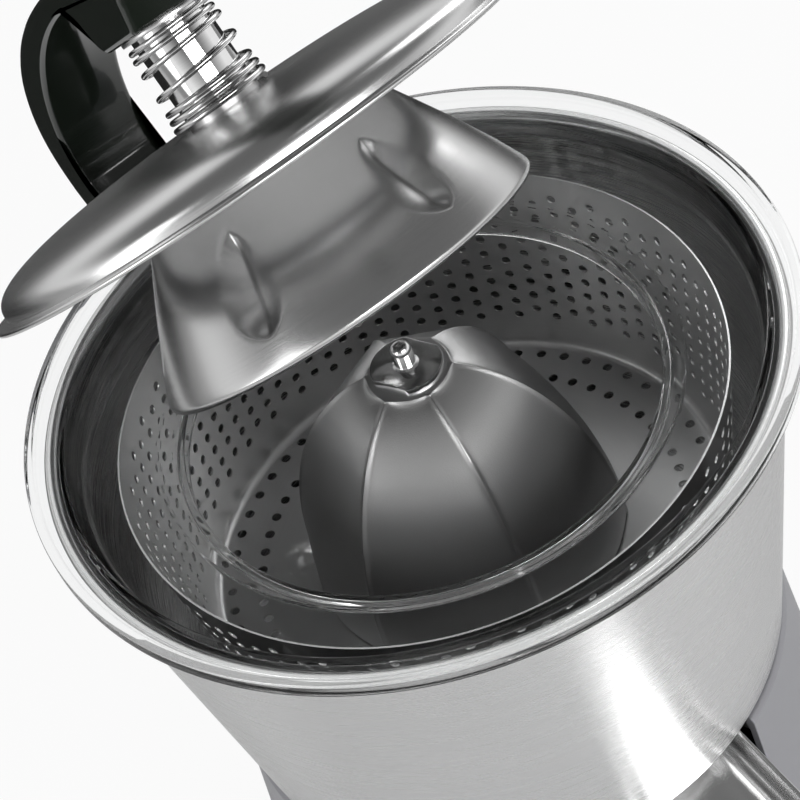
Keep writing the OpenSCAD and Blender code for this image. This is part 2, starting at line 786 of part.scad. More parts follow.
module lever_arm() {
  color([0.06, 0.07, 0.06])
  opened()
  difference() {
    union() {
      rotate([90, 0, 90])
        translate([0, 0, -arm_half]) linear_extrude(2 * arm_half) polygon(arm_outline);
      translate([0, hinge_back, hinge_z]) xbar(eye_r, -arm_half, arm_half);
      // rounded end of the handle
      translate([0, -handle_reach + 8, (arm_top - 3 + arm_under - 10) / 2])
        xbar((arm_top - 3 - arm_under + 10) / 2, -arm_half, arm_half);
    }
    translate([0, hinge_back, hinge_z]) xbar(6 + seat_gap, -arm_half - cut, arm_half + cut);
    translate([0, 0, boss_bottom - cut]) cylinder(r = post_r + run_gap, h = bore_top - boss_bottom + cut);
    translate([0, 0, bore_top - cut]) cylinder(r = 3 + 0.2, h = 40);
  }
}

module hinge_bushes() {
  color([0.72, 0.55, 0.3])
  opened()
  translate([0, hinge_back, hinge_z])
    for (s = [0, 1]) mirror([s, 0, 0])
      difference() {
        xbar(6, 1, arm_half);
        xbar(pin_r + run_gap, 0, arm_half + cut);
      }
}

module spring_washer() {
  color([0.75, 0.75, 0.76])
  opened()
  translate([0, 0, boss_bottom - spring_washer_t])
    difference() {
      cylinder(r = spring_r + 1.4, h = spring_washer_t);
      translate([0, 0, -cut]) cylinder(r = post_r + run_gap, h = 4);
    }
}

// Height of the spring's wire after a number of turns: close at both ends, open near the top
close_pitch = wire + 0.6;
open_rise = spring_high - spring_low - close_pitch * spring_turns;
function ease(x) = let (c = min(1, max(0, x))) c * c * (3 - 2 * c);
function coil_z(t) = spring_low + close_pitch * t + open_rise * ease((t - 3.2) / 3);
coil_steps = spring_turns * 8;
coil = [for (i = [0 : coil_steps])
  let (t = i / 8) [spring_r * cos(360 * t), spring_r * sin(360 * t), coil_z(t)]];
coil_gap = min([for (i = [0 : coil_steps - 6]) min([for (j = [i + 6 : coil_steps]) norm(coil[i] - coil[j])])]) - wire;
echo(least_gap_between_turns_of_the_spring = coil_gap);

module press_spring() {
  sides = 6;
  head = [coil[0] - [0, wire, 0]];
  tail = [coil[coil_steps] + [0, wire, 0]];
  line = concat(head, coil, tail);
  m = len(line);
  rings = [for (i = [0 : m - 1])
    let (d = line[min(m - 1, i + 1)] - line[max(0, i - 1)], u = d / norm(d))
    let (w = cross(u, [0, 0, 1]), a = w / norm(w), b = cross(u, a))
    for (k = [0 : sides - 1]) line[i] + wire / 2 * (a * cos(360 * k / sides) + b * sin(360 * k / sides))];
  color([0.85, 0.85, 0.86])
  opened()
  polyhedron(
    points = rings,
    faces = concat(
      [[for (k = [0 : sides - 1]) k]],
      [for (i = [0 : m - 2]) for (k = [0 : sides - 1])
        [i * sides + k, (i + 1) * sides + k, i * sides + (k + 1) % sides]],
      [for (i = [0 : m - 2]) for (k = [0 : sides - 1])
        [i * sides + (k + 1) % sides, (i + 1) * sides + k, (i + 1) * sides + (k + 1) % sides]],
      [[for (k = [sides - 1 : -1 : 0]) (m - 1) * sides + k]]));
}

module guide_post() {
  color([0.88, 0.88, 0.88])
  opened()
  difference() {
    union() {
      translate([0, 0, dome_top]) cylinder(r = post_r, h = post_top - dome_top);
      translate([0, 0, dome_top - 6]) cylinder(r = 8, h = 7);
    }
    translate([0, 0, dome_top - 7]) cylinder(r = 5.6, h = 26);
    translate([0, 0, post_top - 9]) cylinder(r = 3 + seat_gap, h = 10);
  }
}

module post_screw() {
  color([0.75, 0.75, 0.76])
  opened() {
    translate([0, 0, post_top - 8]) cylinder(r = 3, h = arm_top - post_top + 8.1);
    translate([0, 0, arm_top + 0.1]) cylinder(r = 6, h = 3);
  }
}

module lid_dome() {
  up = shifted(quarter(lid_dome_r, lid_dome_h, 2.4, 24), 0, dome_base);
  low = shifted(quarter(lid_dome_r - flange_thick, lid_dome_h - flange_thick, 2.4, 24), 0, dome_base);
  color([0.8, 0.8, 0.8])
  opened()
  rotate_extrude()
    polygon(concat(
      [[8 + seat_gap, dome_top], [post_r + 3, dome_top]],
      [for (p = up) if (p[0] > post_r + 4) p],
      [[lid_dome_r + 0.6, flange_z + flange_thick], [lid_flange_r, flange_z + flange_thick],
       [lid_flange_r, flange_z], [lid_dome_r - flange_thick, flange_z]],
      flipped([for (p = low) if (p[0] > post_r + 4) p]),
      [[post_r + 3, dome_top - flange_thick], [8 + seat_gap, dome_top - flange_thick]]));
}

// Cup outline from its flat top to its lower edge
cup_sheet = 1.2;
cup_top = dome_top - flange_thick;
cup_low = flange_z - cup_drop;
function cup_curve(inset) = [for (i = [3 : 24])
  let (p = bent(cup_r - inset, cup_top - cup_low - inset + 2, 1.5, 90 * i / 24))
  [p[0], p[1] + cup_low]];

module press_cup() {
  dimple_turn = -43;
  dimple_z = flange_z - 21;
  dimple_r = 40.5;
  dimple_lean = 27;
  outer = [for (p = cup_curve(0)) if (p[1] < cup_top - cut) p];
  inner = [for (p = cup_curve(cup_sheet)) if (p[1] < cup_top - cut - cup_sheet) p];
  color([0.78, 0.78, 0.78])
  opened()
  difference() {
    union() {
      rotate_extrude()
        polygon(concat(
          [[8 + seat_gap, cup_top], [outer[0][0] - 1, cup_top]], outer,
          [[cup_r + 0.8, cup_low - 0.6], [cup_r + 0.8, cup_low - 1.6], [cup_r - cup_sheet, cup_low - 1.6]],
          flipped(inner), [[inner[0][0] - 1, cup_top - cup_sheet], [8 + seat_gap, cup_top - cup_sheet]]));
      // inward ribs behind the pressed dimples
      intersection() {
        rotate_extrude() polygon(concat([[0, cup_top - 2]], inner, [[0, cup_low]]));
        for (k = [0 : 5]) dimple(dimple_turn + 60 * k, dimple_r, dimple_z, dimple_lean, 5.2);
      }
    }
    for (k = [0 : 5]) dimple(dimple_turn + 60 * k, dimple_r, dimple_z, dimple_lean, 4.1);
  }
}

// A round-ended bar lying along the slope of the cup
module dimple(turn, r, z, lean, size) {
  rotate([0, 0, turn])
    translate([0, -r - 4.4, z + 1.6])
      rotate([-lean, 0, 0]) {
        translate([0, 0, -6]) cylinder(r = size, h = 12, $fn = 40);
        for (e = [-6, 6]) translate([0, 0, e]) sphere(r = size, $fn = 40);
      }
}

module press_nut() {
  color([0.7, 0.7, 0.72])
  opened()
  translate([0, 0, cup_top - cup_sheet - 2.6])
    difference() {
      cylinder(r = 9.7, h = 2.6);
      translate([0, 0, -cut]) cylinder(r = 8 + seat_gap, h = 6);
    }
}

housing_shell();
base_plate();
rubber_feet();
base_screws();
cord_gland();
switch_frame();
switch_rocker();
bridge_plate();
bridge_pillars();
pillar_screws();
motor_can();
motor_magnets();
motor_rotor();
pinion();
drive_gear();
drive_shaft();
lower_bush();
upper_bush();
shaft_seal();
bowl();
spout();
strainer();
splash_ring();
reamer();
reamer_cap();
hinge_pin();
hinge_caps();
friction_washers();
lever_arm();
hinge_bushes();
spring_washer();
press_spring();
guide_post();
post_screw();
lid_dome();
press_cup();
press_nut();
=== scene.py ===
"""Looks of an electric citrus press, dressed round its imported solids.

The press stands on its feet with the lever open. Sizes in the classes are millimetres, heights are taken from
the worktop and radii from the axis of the bowl. Pieces of the lever are drawn with the lever down and then
turned to their open place.
"""

import json
import logging
import math
from dataclasses import dataclass, field
from enum import Enum
from typing import Callable, Optional, Sequence, Union

import bmesh
import bpy
from mathutils import Matrix, Vector


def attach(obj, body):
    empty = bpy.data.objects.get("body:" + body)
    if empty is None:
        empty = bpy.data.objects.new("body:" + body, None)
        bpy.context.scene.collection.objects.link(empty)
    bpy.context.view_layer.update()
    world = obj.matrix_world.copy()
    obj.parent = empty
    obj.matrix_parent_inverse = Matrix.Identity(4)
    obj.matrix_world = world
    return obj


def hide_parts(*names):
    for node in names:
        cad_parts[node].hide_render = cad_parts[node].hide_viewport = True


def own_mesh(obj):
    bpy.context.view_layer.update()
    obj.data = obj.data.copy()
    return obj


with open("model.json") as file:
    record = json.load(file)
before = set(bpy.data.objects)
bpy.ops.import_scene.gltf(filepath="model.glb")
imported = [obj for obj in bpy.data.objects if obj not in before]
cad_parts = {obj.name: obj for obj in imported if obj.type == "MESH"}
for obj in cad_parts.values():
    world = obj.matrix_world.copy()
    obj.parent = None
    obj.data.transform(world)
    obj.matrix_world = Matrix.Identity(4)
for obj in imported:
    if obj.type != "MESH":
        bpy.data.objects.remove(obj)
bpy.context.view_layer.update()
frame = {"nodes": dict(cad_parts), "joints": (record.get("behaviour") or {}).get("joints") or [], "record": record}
LOG = logging.getLogger("citrus_press")
MM = 0.001
# Depth of a finish's grain in metres, and steps round a large turned piece.
GRAIN_DEPTH = 0.0002
ROUND_STEPS = 256
Point2 = tuple[float, float]
Colour = tuple[float, float, float]


class Sock:
    """A shader socket that takes part in Python arithmetic."""

    def __init__(self, graph: "Graph", socket: bpy.types.NodeSocket) -> None:
        """Keeps the socket and the graph that it belongs to."""
        self.graph = graph
        self.socket = socket

    def maths(self, operation: str, *values: Union["Sock", float]) -> "Sock":
        """Adds a Math node.

        Args:
            operation: Name of the Math operation.
            values: Sockets or numbers for its inputs, in order.

        Returns:
            The result's socket.
        """
        return self.graph.node("ShaderNodeMath", {"operation": operation}, dict(enumerate(values)))

    def __add__(self, other: Union["Sock", float]) -> "Sock":
        """Sum."""
        return self.maths("ADD", self, other)

    def __radd__(self, other: float) -> "Sock":
        """Sum with a number in front."""
        return self.maths("ADD", other, self)

    def __sub__(self, other: Union["Sock", float]) -> "Sock":
        """Difference."""
        return self.maths("SUBTRACT", self, other)

    def __rsub__(self, other: float) -> "Sock":
        """Difference with a number in front."""
        return self.maths("SUBTRACT", other, self)

    def __mul__(self, other: Union["Sock", float]) -> "Sock":
        """Product."""
        return self.maths("MULTIPLY", self, other)

    def __rmul__(self, other: float) -> "Sock":
        """Product with a number in front."""
        return self.maths("MULTIPLY", other, self)

    def __pow__(self, other: Union["Sock", float]) -> "Sock":
        """Power."""
        return self.maths("POWER", self, other)

    def __rpow__(self, other: float) -> "Sock":
        """Power of a number."""
        return self.maths("POWER", other, self)


class Graph:
    """The node tree of one material or of the world."""

    def __init__(self, tree: bpy.types.NodeTree) -> None:
        """Empties the tree and keeps it."""
        self.tree = tree
        tree.nodes.clear()

    @classmethod
    def of_material(cls, name: str) -> tuple[bpy.types.Material, "Graph"]:
        """Makes a material.

        Args:
            name: Name of the material.

        Returns:
            The material and its emptied tree.
        """
        made = bpy.data.materials.new(name)
        made.use_nodes = True
        return made, cls(made.node_tree)

    def node(self, kind: str, settings: Optional[dict] = None, inputs: Optional[dict] = None,
             output: Union[int, str] = 0) -> Sock:
        """Adds a node of any kind.

        Args:
            kind: Blender's name of the node's type.
            settings: Properties set before its sockets; "stops" holds a ramp's places and colours.
            inputs: Numbers, colours or sockets for its inputs, by name or index.
            output: Output to hand back.

        Returns:
            The chosen output as a socket.
        """
        made = self.tree.nodes.new(kind)
        for key, value in (settings or {}).items():
            if key == "stops":
                while len(made.color_ramp.elements) < len(value):
                    made.color_ramp.elements.new(0.5)
                for element, (place, colour) in zip(made.color_ramp.elements, value):
                    element.position = place
                    element.color = (*colour, 1.0)
            else:
                setattr(made, key, value)
        for key, value in (inputs or {}).items():
            if isinstance(value, Sock):
                self.tree.links.new(value.socket, made.inputs[key])
            else:
                made.inputs[key].default_value = value
        return Sock(self, made.outputs[output]) if len(made.outputs) else Sock(self, made.inputs[0])

    def place(self) -> tuple[Sock, ...]:
        """The point's own coordinates on its piece, in metres."""
        parts = self.node("ShaderNodeSeparateXYZ", inputs={0: self.node("ShaderNodeTexCoord", output="Object")})
        return tuple(Sock(self, out) for out in parts.socket.node.outputs)

    @staticmethod
    def polar(x: Sock, y: Sock) -> tuple[Sock, Sock]:
        """Angle round the piece's upright axis and distance from it."""
        return x.maths("ARCTAN2", y, x), (x * x + y * y) ** 0.5

    def speckle(self, point: Sequence[Sock], scale: float, detail: float) -> Sock:
        """Noise that is alike in every direction, with a scale in marks per metre."""
        return self.noise(*(axis * scale for axis in point), detail)

    def noise(self, x: Sock, y: Sock, z: Sock, detail: float) -> Sock:
        """Smooth noise from 0 to 1 at a point given by three values."""
        point = self.node("ShaderNodeCombineXYZ", inputs={0: x, 1: y, 2: z})
        return self.node("ShaderNodeTexNoise", inputs={"Vector": point, "Scale": 1.0, "Detail": detail})

    def blend(self, low: Colour, high: Colour, share: Sock) -> Sock:
        """A colour between two colours."""
        return self.node("ShaderNodeMix", {"data_type": "RGBA"},
                         {0: share, 6: (*low, 1.0), 7: (*high, 1.0)}, 2)

    def bump(self, height: Sock, strength: float, distance: float) -> Sock:
        """A normal tilted by a height."""
        return self.node("ShaderNodeBump", inputs={"Strength": strength, "Distance": distance, "Height": height})

    def surface(self, sockets: dict) -> None:
        """Ends a material in one Principled shader with the given sockets."""
        shader = self.node("ShaderNodeBsdfPrincipled", inputs=sockets)
        self.node("ShaderNodeOutputMaterial", inputs={0: shader})


class Grain(Enum):
    """Run of the fine lines that a finishing tool leaves on metal."""

    ROUND = "round"
    ALONG = "along"
    BLASTED = "blasted"


@dataclass(frozen=True)
class Steel:
    """A bare metal with the marks of its finishing."""

    name: str
    tone: float
    rough: float
    grain: Grain
    lines: float = 2600.0
    depth: float = 0.05
    vary: float = 0.06
    anisotropy: float = 0.0
    tint: Colour = (1.0, 1.0, 1.0)
    # Marks per radian of round lines and per metre along straight ones, smudges per metre, both ends of the tone,
    # and the share of the fine lines in it.
    ROUND_RUN = 1.3
    ALONG_RUN = 30.0
    SMUDGES = 34.0
    DARKEST, PALEST = 0.93, 1.05
    FINE_SHARE = 0.6

    def material(self) -> bpy.types.Material:
        """Builds the metal.

        Returns:
            Material whose lines run as the grain says.
        """
        made, g = Graph.of_material(self.name)
        point = x, y, z = g.place()
        if self.grain is Grain.ROUND:
            angle, reach = g.polar(x, y)
            fine = g.noise(angle * self.ROUND_RUN, reach * self.lines, z * self.lines, 3.0)
        elif self.grain is Grain.ALONG:
            fine = g.noise(x * self.lines, y * self.lines, z * self.ALONG_RUN, 3.0)
        else:
            fine = g.speckle(point, self.lines, 1.0)
        broad = g.speckle(point, self.SMUDGES, 3.0)
        low = tuple(self.DARKEST * self.tone * t for t in self.tint)
        high = tuple(min(1.0, self.PALEST * self.tone * t) for t in self.tint)
        g.surface({
            "Base Color": g.blend(low, high, fine * self.FINE_SHARE + broad * (1 - self.FINE_SHARE)),
            "Metallic": 1.0,
            "Roughness": self.rough + (fine - 0.5) * self.vary + (broad - 0.5) * (0.6 * self.vary),
            "Anisotropic": self.anisotropy,
            "Normal": g.bump(fine, self.depth, GRAIN_DEPTH),
        })
        return made


@dataclass(frozen=True)
class Moulded:
    """A moulded plastic or rubber with a fine skin."""

    name: str
    colour: Colour
    rough: float
    skin: float = 1800.0
    depth: float = 0.08
    coat: float = 0.0
    specular: float = 0.5
    # Handling marks per metre, both ends of the colour, the share of the fine skin in it, the coat's roughness, and
    # how far marks and skin move the surface's own.
    MARKS = 22.0
    DARKEST, PALEST = 0.9, 1.08
    FINE_SHARE = 0.4
    COAT_ROUGH = 0.04
    MARK_ROUGH, SKIN_ROUGH = 0.08, 0.05

    def material(self) -> bpy.types.Material:
        """Builds the plastic.

        Returns:
            Material with a grained skin and faint handling marks.
        """
        made, g = Graph.of_material(self.name)
        point = g.place()
        fine = g.speckle(point, self.skin, 2.0)
        broad = g.speckle(point, self.MARKS, 3.0)
        low = tuple(self.DARKEST * c for c in self.colour)
        high = tuple(min(1.0, self.PALEST * c) for c in self.colour)
        g.surface({
            "Base Color": g.blend(low, high, fine * self.FINE_SHARE + broad * (1 - self.FINE_SHARE)),
            "Roughness": self.rough + (broad - 0.5) * self.MARK_ROUGH + (fine - 0.5) * self.SKIN_ROUGH,
            "Specular IOR Level": self.specular,
            "Coat Weight": self.coat,
            "Coat Roughness": self.COAT_ROUGH,
            "Normal": g.bump(fine, self.depth, GRAIN_DEPTH),
        })
        return made


@dataclass(frozen=True)
class Clear:
    """A clear polished plastic with faint scuffs."""

    name: str
    colour: Colour
    rough: float
    index: float
    # Scuffs per radian, per metre of height and per metre outwards, the darkest share of the colour, and the
    # roughness of a scuff.
    AROUND, UPWARDS, OUTWARDS = 9.0, 300.0, 900.0
    DARKEST = 0.97
    SCUFF_ROUGH = 0.06

    def material(self) -> bpy.types.Material:
        """Builds the clear plastic.

        Returns:
            Material that lets light through.
        """
        made, g = Graph.of_material(self.name)
        x, y, z = g.place()
        angle, reach = g.polar(x, y)
        scuff = g.noise(angle * self.AROUND, z * self.UPWARDS, reach * self.OUTWARDS, 3.0)
        g.surface({
            "Base Color": g.blend(tuple(self.DARKEST * c for c in self.colour), self.colour, scuff),
            "Roughness": self.rough + scuff ** 4.0 * self.SCUFF_ROUGH,
            "IOR": self.index,
            "Transmission Weight": 1.0,
        })
        return made


class Finishes:
    """Every finish of the press, built once and handed out by slot."""

    TABLE = {
        "housing_grey": Moulded("housing_grey", (0.30, 0.30, 0.32), 0.42, 2200.0, 0.06),
        "base_dark": Moulded("base_dark", (0.06, 0.06, 0.065), 0.5, 900.0, 0.1),
        "rubber": Moulded("rubber", (0.02, 0.02, 0.02), 0.75, 700.0, 0.15, 0.0, 0.3),
        "zinc_screw": Steel("zinc_screw", 0.62, 0.3, Grain.ROUND, 3000.0),
        "switch_black": Moulded("switch_black", (0.016, 0.016, 0.016), 0.34, 1500.0, 0.08),
        "plate_steel": Steel("plate_steel", 0.58, 0.36, Grain.ALONG, 1800.0),
        "magnet_dark": Moulded("magnet_dark", (0.05, 0.05, 0.055), 0.6, 600.0, 0.2),
        "rotor_steel": Steel("rotor_steel", 0.45, 0.4, Grain.ALONG, 1500.0, tint=(1.0, 0.8, 0.66)),
        "gear_steel": Steel("gear_steel", 0.62, 0.25, Grain.ROUND, 2600.0),
        "gear_resin": Moulded("gear_resin", (0.62, 0.58, 0.46), 0.4, 1200.0, 0.05),
        "bronze": Steel("bronze", 0.6, 0.32, Grain.ROUND, 2400.0, tint=(1.0, 0.72, 0.36)),
        "seal_rubber": Moulded("seal_rubber", (0.03, 0.03, 0.03), 0.6, 900.0, 0.1),
        "bowl_steel": Steel("bowl_steel", 0.72, 0.27, Grain.ROUND, 3200.0, 0.06, 0.08, 0.6),
        "spout_steel": Steel("spout_steel", 0.76, 0.18, Grain.ALONG, 2400.0, 0.04),
        "strainer_steel": Steel("strainer_steel", 0.6, 0.34, Grain.ROUND, 2400.0, 0.05, 0.08),
        "clear_ring": Clear("clear_ring", (0.96, 0.965, 0.965), 0.02, 1.27),
        "reamer_steel": Steel("reamer_steel", 0.5, 0.33, Grain.BLASTED, 3600.0, 0.2, 0.06),
        "cap_steel": Steel("cap_steel", 0.75, 0.12, Grain.ROUND, 3200.0, 0.03),
        "arm_black": Moulded("arm_black", (0.012, 0.016, 0.012), 0.14, 260.0, 0.012, 0.6, 0.5),
        "spring_steel": Steel("spring_steel", 0.68, 0.12, Grain.ROUND, 1200.0, 0.02),
        "post_chrome": Steel("post_chrome", 0.8, 0.06, Grain.ROUND, 2600.0, 0.015, 0.03),
        "lid_steel": Steel("lid_steel", 0.66, 0.25, Grain.ROUND, 2600.0, 0.05, 0.06, 0.4),
        "cup_steel": Steel("cup_steel", 0.62, 0.24, Grain.ROUND, 2400.0, 0.04, 0.06, 0.5),
    }

    def __init__(self) -> None:
        """Builds each material once."""
        self.made = {slot: finish.material() for slot, finish in self.TABLE.items()}

    def of(self, slot: str) -> bpy.types.Material:
        """The material of a slot."""
        return self.made[slot]


class Lathe:
    """Round meshes, and outlines to turn."""

    # Straighter and sharper corners stay as they are, and a rounding takes at most this share of a side.
    STRAIGHT, FOLDED = math.radians(178), math.radians(2)
    SIDE_SHARE = 0.48

    @staticmethod
    def front(r: float, angle: float, z: float) -> Vector:
        """Point at a radius, an angle in radians from the front and a height."""
        return Vector((r * math.sin(angle), -r * math.cos(angle), z))

    @staticmethod
    def skin(bm: bmesh.types.BMesh, rings: list[list[bmesh.types.BMVert]], closed: bool = False) -> None:
        """Joins rings of points with faces.

        Args:
            bm: Mesh to add to.
            rings: Rings of equally many points; one point repeated is a pole.
            closed: Whether the last ring joins the first.
        """
        count = len(rings[0])
        for low, high in zip(rings, rings[1:] + (rings[:1] if closed else [])):
            for k in range(count):
                ahead = (k + 1) % count
                corners = list(dict.fromkeys([low[k], low[ahead], high[ahead], high[k]]))
                if len(corners) > 2:
                    bm.faces.new(corners)

    @staticmethod
    def rounded(corners: Sequence[tuple[float, float, float]], arc: int, closed: bool = True) -> list[Point2]:
        """Rounds the corners of an outline.

        Args:
            corners: Corners as two coordinates and a radius.
            arc: Steps round each corner.
            closed: Whether the last corner joins the first.

        Returns:
            Points of the rounded outline.
        """
        points: list[Point2] = []
        count = len(corners)
        for i, (u, v, radius) in enumerate(corners):
            here = Vector((u, v))
            if radius <= 0 or (not closed and i in (0, count - 1)):
                points.append((u, v))
                continue
            back = Vector(corners[i - 1][:2]) - here
            ahead = Vector(corners[(i + 1) % count][:2]) - here
            turn = back.angle(ahead, math.pi)
            if not Lathe.FOLDED <= turn <= Lathe.STRAIGHT:
                points.append((u, v))
                continue
            reach = min(radius / math.tan(turn / 2), Lathe.SIDE_SHARE * min(back.length, ahead.length))
            first, last = here + back.normalized() * reach, here + ahead.normalized() * reach
            for k in range(arc + 1):
                t = k / arc
                point = first * (1 - t) ** 2 + here * (2 * t * (1 - t)) + last * t ** 2
                points.append((point.x, point.y))
        return points

    @staticmethod
    def turn(outline: Sequence[Point2], steps: int, shape: Optional[Callable[[float, int], Point2]] = None,
             closed: bool = True, into: Optional[bmesh.types.BMesh] = None) -> bmesh.types.BMesh:
        """Turns an outline of radius and height round the upright axis.

        Args:
            outline: Radius and height of each point.
            steps: Steps round the axis.
            shape: Radius and height at an angle for a point's number, where the form isn't plainly round.
            closed: Whether the outline closes on itself.
            into: Mesh to add to, where there is one.

        Returns:
            The turned mesh, in metres.
        """
        bm = bmesh.new() if into is None else into
        rings: list[list[bmesh.types.BMVert]] = []
        for number, (r, z) in enumerate(outline):
            if r < 1e-6:
                rings.append([bm.verts.new((0, 0, z * MM))] * steps)
                continue
            ring = []
            for k in range(steps):
                angle = 2 * math.pi * k / steps
                rr, zz = shape(angle, number) if shape else (r, z)
                ring.append(bm.verts.new((rr * math.cos(angle) * MM, rr * math.sin(angle) * MM, zz * MM)))
            rings.append(ring)
        Lathe.skin(bm, rings, closed)
        return bm


@dataclass(frozen=True)
class Layout:
    """Where the press stands in the shared frame."""

    axis_y: float
    hinge: tuple[float, float, float]
    open_deg: float

    @classmethod
    def from_frame(cls) -> "Layout":
        """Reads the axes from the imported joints.

        Returns:
            The layout.
        """
        joints = {j["name"]: j for j in frame["joints"]}
        lever = joints["lever_hinge"]
        return cls(joints["spindle_spin"]["pos_m"][1], tuple(lever["pos_m"]), lever["range_deg"][1])

    def stand(self) -> Matrix:
        """Place of what is drawn round the bowl's axis."""
        return Matrix.Translation((0, self.axis_y, 0))

    def opened(self) -> Matrix:
        """Turns what is drawn with the lever down.

        Returns:
            Its place with the lever open.
        """
        x, y, z = self.hinge
        local = Vector((x, y - self.axis_y, z))
        turn = Matrix.Rotation(math.radians(-self.open_deg), 4, "X")
        return Matrix.Translation((x, y, z)) @ turn @ Matrix.Translation(-local)


class Workshop:
    """Turns meshes into pieces that ride on the frame."""

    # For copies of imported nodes: distance in metres at which points are one, and the angles in degrees below which
    # faces are one, above which an edge is rounded, and above which it stays sharp.
    MERGE = 2e-6
    FLAT, SQUARE, SHARP = 0.6, 38.0, 32.0

    def __init__(self, finishes: Finishes, layout: Layout) -> None:
        """Keeps the finishes and the layout."""
        self.finishes = finishes
        self.layout = layout

    def piece(self, name: str, bm: bmesh.types.BMesh, body: str, slot: str, nodes: Sequence[str] = (),
              place: Optional[Matrix] = None, sharp: float = 40.0) -> bpy.types.Object:
        """Makes a finished piece of a mesh.

        Args:
            name: Name of the piece.
            bm: Its mesh, in metres.
            body: Body that it rides on.
            slot: Slot of its finish.
            nodes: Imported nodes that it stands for.
            place: Its place, where it isn't drawn in the shared frame.
            sharp: Angle in degrees above which an edge stays sharp.

        Returns:
            The piece.
        """
        bmesh.ops.recalc_face_normals(bm, faces=bm.faces[:])
        mesh = bpy.data.meshes.new(name)
        bm.to_mesh(mesh)
        bm.free()
        mesh.shade_smooth()
        mesh.set_sharp_from_angle(angle=math.radians(sharp))
        mesh.materials.append(self.finishes.of(slot))
        made = bpy.data.objects.new(name, mesh)
        bpy.context.scene.collection.objects.link(made)
        if place is not None:
            made.matrix_world = place
        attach(made, body)
        if nodes:
            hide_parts(*nodes)
        LOG.info("%s: %d faces on %s", name, len(mesh.polygons), body)
        return made

    def softened(self, node: str, name: str, body: str, slot: str, width: float, segments: int = 3,
                 shift: Optional[Vector] = None) -> bpy.types.Object:
        """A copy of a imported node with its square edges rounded.

        Args:
            node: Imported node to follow.
            name: Name of the piece.
            body: Body that it rides on.
            slot: Slot of its finish.
            width: Width of the rounding in millimetres.
            segments: Steps across it.
            shift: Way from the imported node, in metres.

        Returns:
            The piece.
        """
        bm = bmesh.new()
        bm.from_mesh(frame["nodes"][node].data)
        bmesh.ops.translate(bm, verts=bm.verts[:], vec=shift or Vector())
        bmesh.ops.remove_doubles(bm, verts=bm.verts[:], dist=self.MERGE)
        bmesh.ops.dissolve_limit(bm, angle_limit=math.radians(self.FLAT), verts=bm.verts[:], edges=bm.edges[:])
        square = math.radians(self.SQUARE)
        edges = [e for e in bm.edges if len(e.link_faces) == 2 and e.calc_face_angle(0.0) > square]
        bmesh.ops.bevel(bm, geom=edges, offset=width * MM, offset_type="OFFSET", segments=segments, profile=0.5,
                        affect="EDGES", clamp_overlap=True)
        made = self.piece(name, bm, body, slot, [node], None, self.SHARP)
        even = made.modifiers.new("even", "WEIGHTED_NORMAL")
        even.keep_sharp = True
        return made


@dataclass
class Bowl:
    """Tapered steel bowl with a rolled edge."""

    foot: float = 190.0
    foot_r: float = 75.2
    top: float = 292.0
    top_r: float = 89.3
    sheet: float = 1.2
    bead: float = 1.6
    bead_out: float = 0.5
    bead_up: float = 2.4
    hub_r: float = 15.2
    hub_top: float = 227.1

    def build(self, shop: Workshop) -> None:
        """Turns the bowl with its bead, base ring and hub.

        Args:
            shop: Workshop that makes the piece.
        """
        out, up, floor = self.top_r + self.bead_out, self.top + self.bead_up, self.foot + self.sheet
        arc = [math.radians(a) for a in range(-100, 181, 14)]
        roll = [(out + self.bead * math.cos(a), up + self.bead * math.sin(a)) for a in arc]
        wall = Lathe.rounded([
            (self.hub_r - self.sheet, self.foot, 0), (self.foot_r, self.foot, 2.2), (self.top_r, self.top, 3.0)],
            6, False)
        inner = Lathe.rounded([
            (self.top_r - self.sheet, self.top, 2.0), (self.foot_r - self.sheet, floor, 3.0),
            (self.hub_r, floor, 2.0), (self.hub_r, self.hub_top, 0.3),
            (self.hub_r - self.sheet, self.hub_top, 0.3)], 6, False)
        shop.piece("bowl_body", Lathe.turn(wall + roll + inner, ROUND_STEPS), "base", "bowl_steel", ["bowl"],
                   shop.layout.stand())


@dataclass
class SplashRing:
    """Clear ring in the mouth of the bowl."""

    rim: float = 300.0
    radius: float = 95.0
    lip_r: float = 59.4
    plug: float = 87.2
    wall: float = 2.0
    flange: float = 4.0
    floor_drop: float = 11.4
    lip_drop: float = 15.9
    lip_end: float = 20.4

    def build(self, shop: Workshop) -> None:
        """Turns the ring with its flange, floor and lip.

        Args:
            shop: Workshop that makes the piece.
        """
        r, p, lip, wall, rim = self.radius, self.plug, self.lip_r, self.wall, self.rim
        under, floor, step, low = (rim - drop for drop in (self.flange, self.floor_drop, self.lip_drop, self.lip_end))
        outline = Lathe.rounded([
            (r, rim, 0.8), (r - wall, rim, 0.7), (r - wall - 0.8, rim - 1.6, 1.2), (p - 1.6, rim - 2, 1.4),
            (p - 3.4, floor, 1.6), (lip + 6, floor - 1.8, 1.5), (lip + 3, floor - 3.6, 1.0),
            (lip + wall, step, 0.7), (lip, step, 0.7), (lip, low, 0.5), (lip + wall, low, 0.5),
            (lip + wall + 0.4, step - 1.9, 1.0), (lip + 6.2, floor - 3.7, 1.5), (p - 2.6, floor - 2, 0.6),
            (p - 1.4, floor - 1, 0.6), (p, under, 0.6), (r, under, 0.8)], 5)
        shop.piece("clear_splash_ring", Lathe.turn(outline, ROUND_STEPS), "base", "clear_ring", ["splash_ring"],
                   shop.layout.stand())


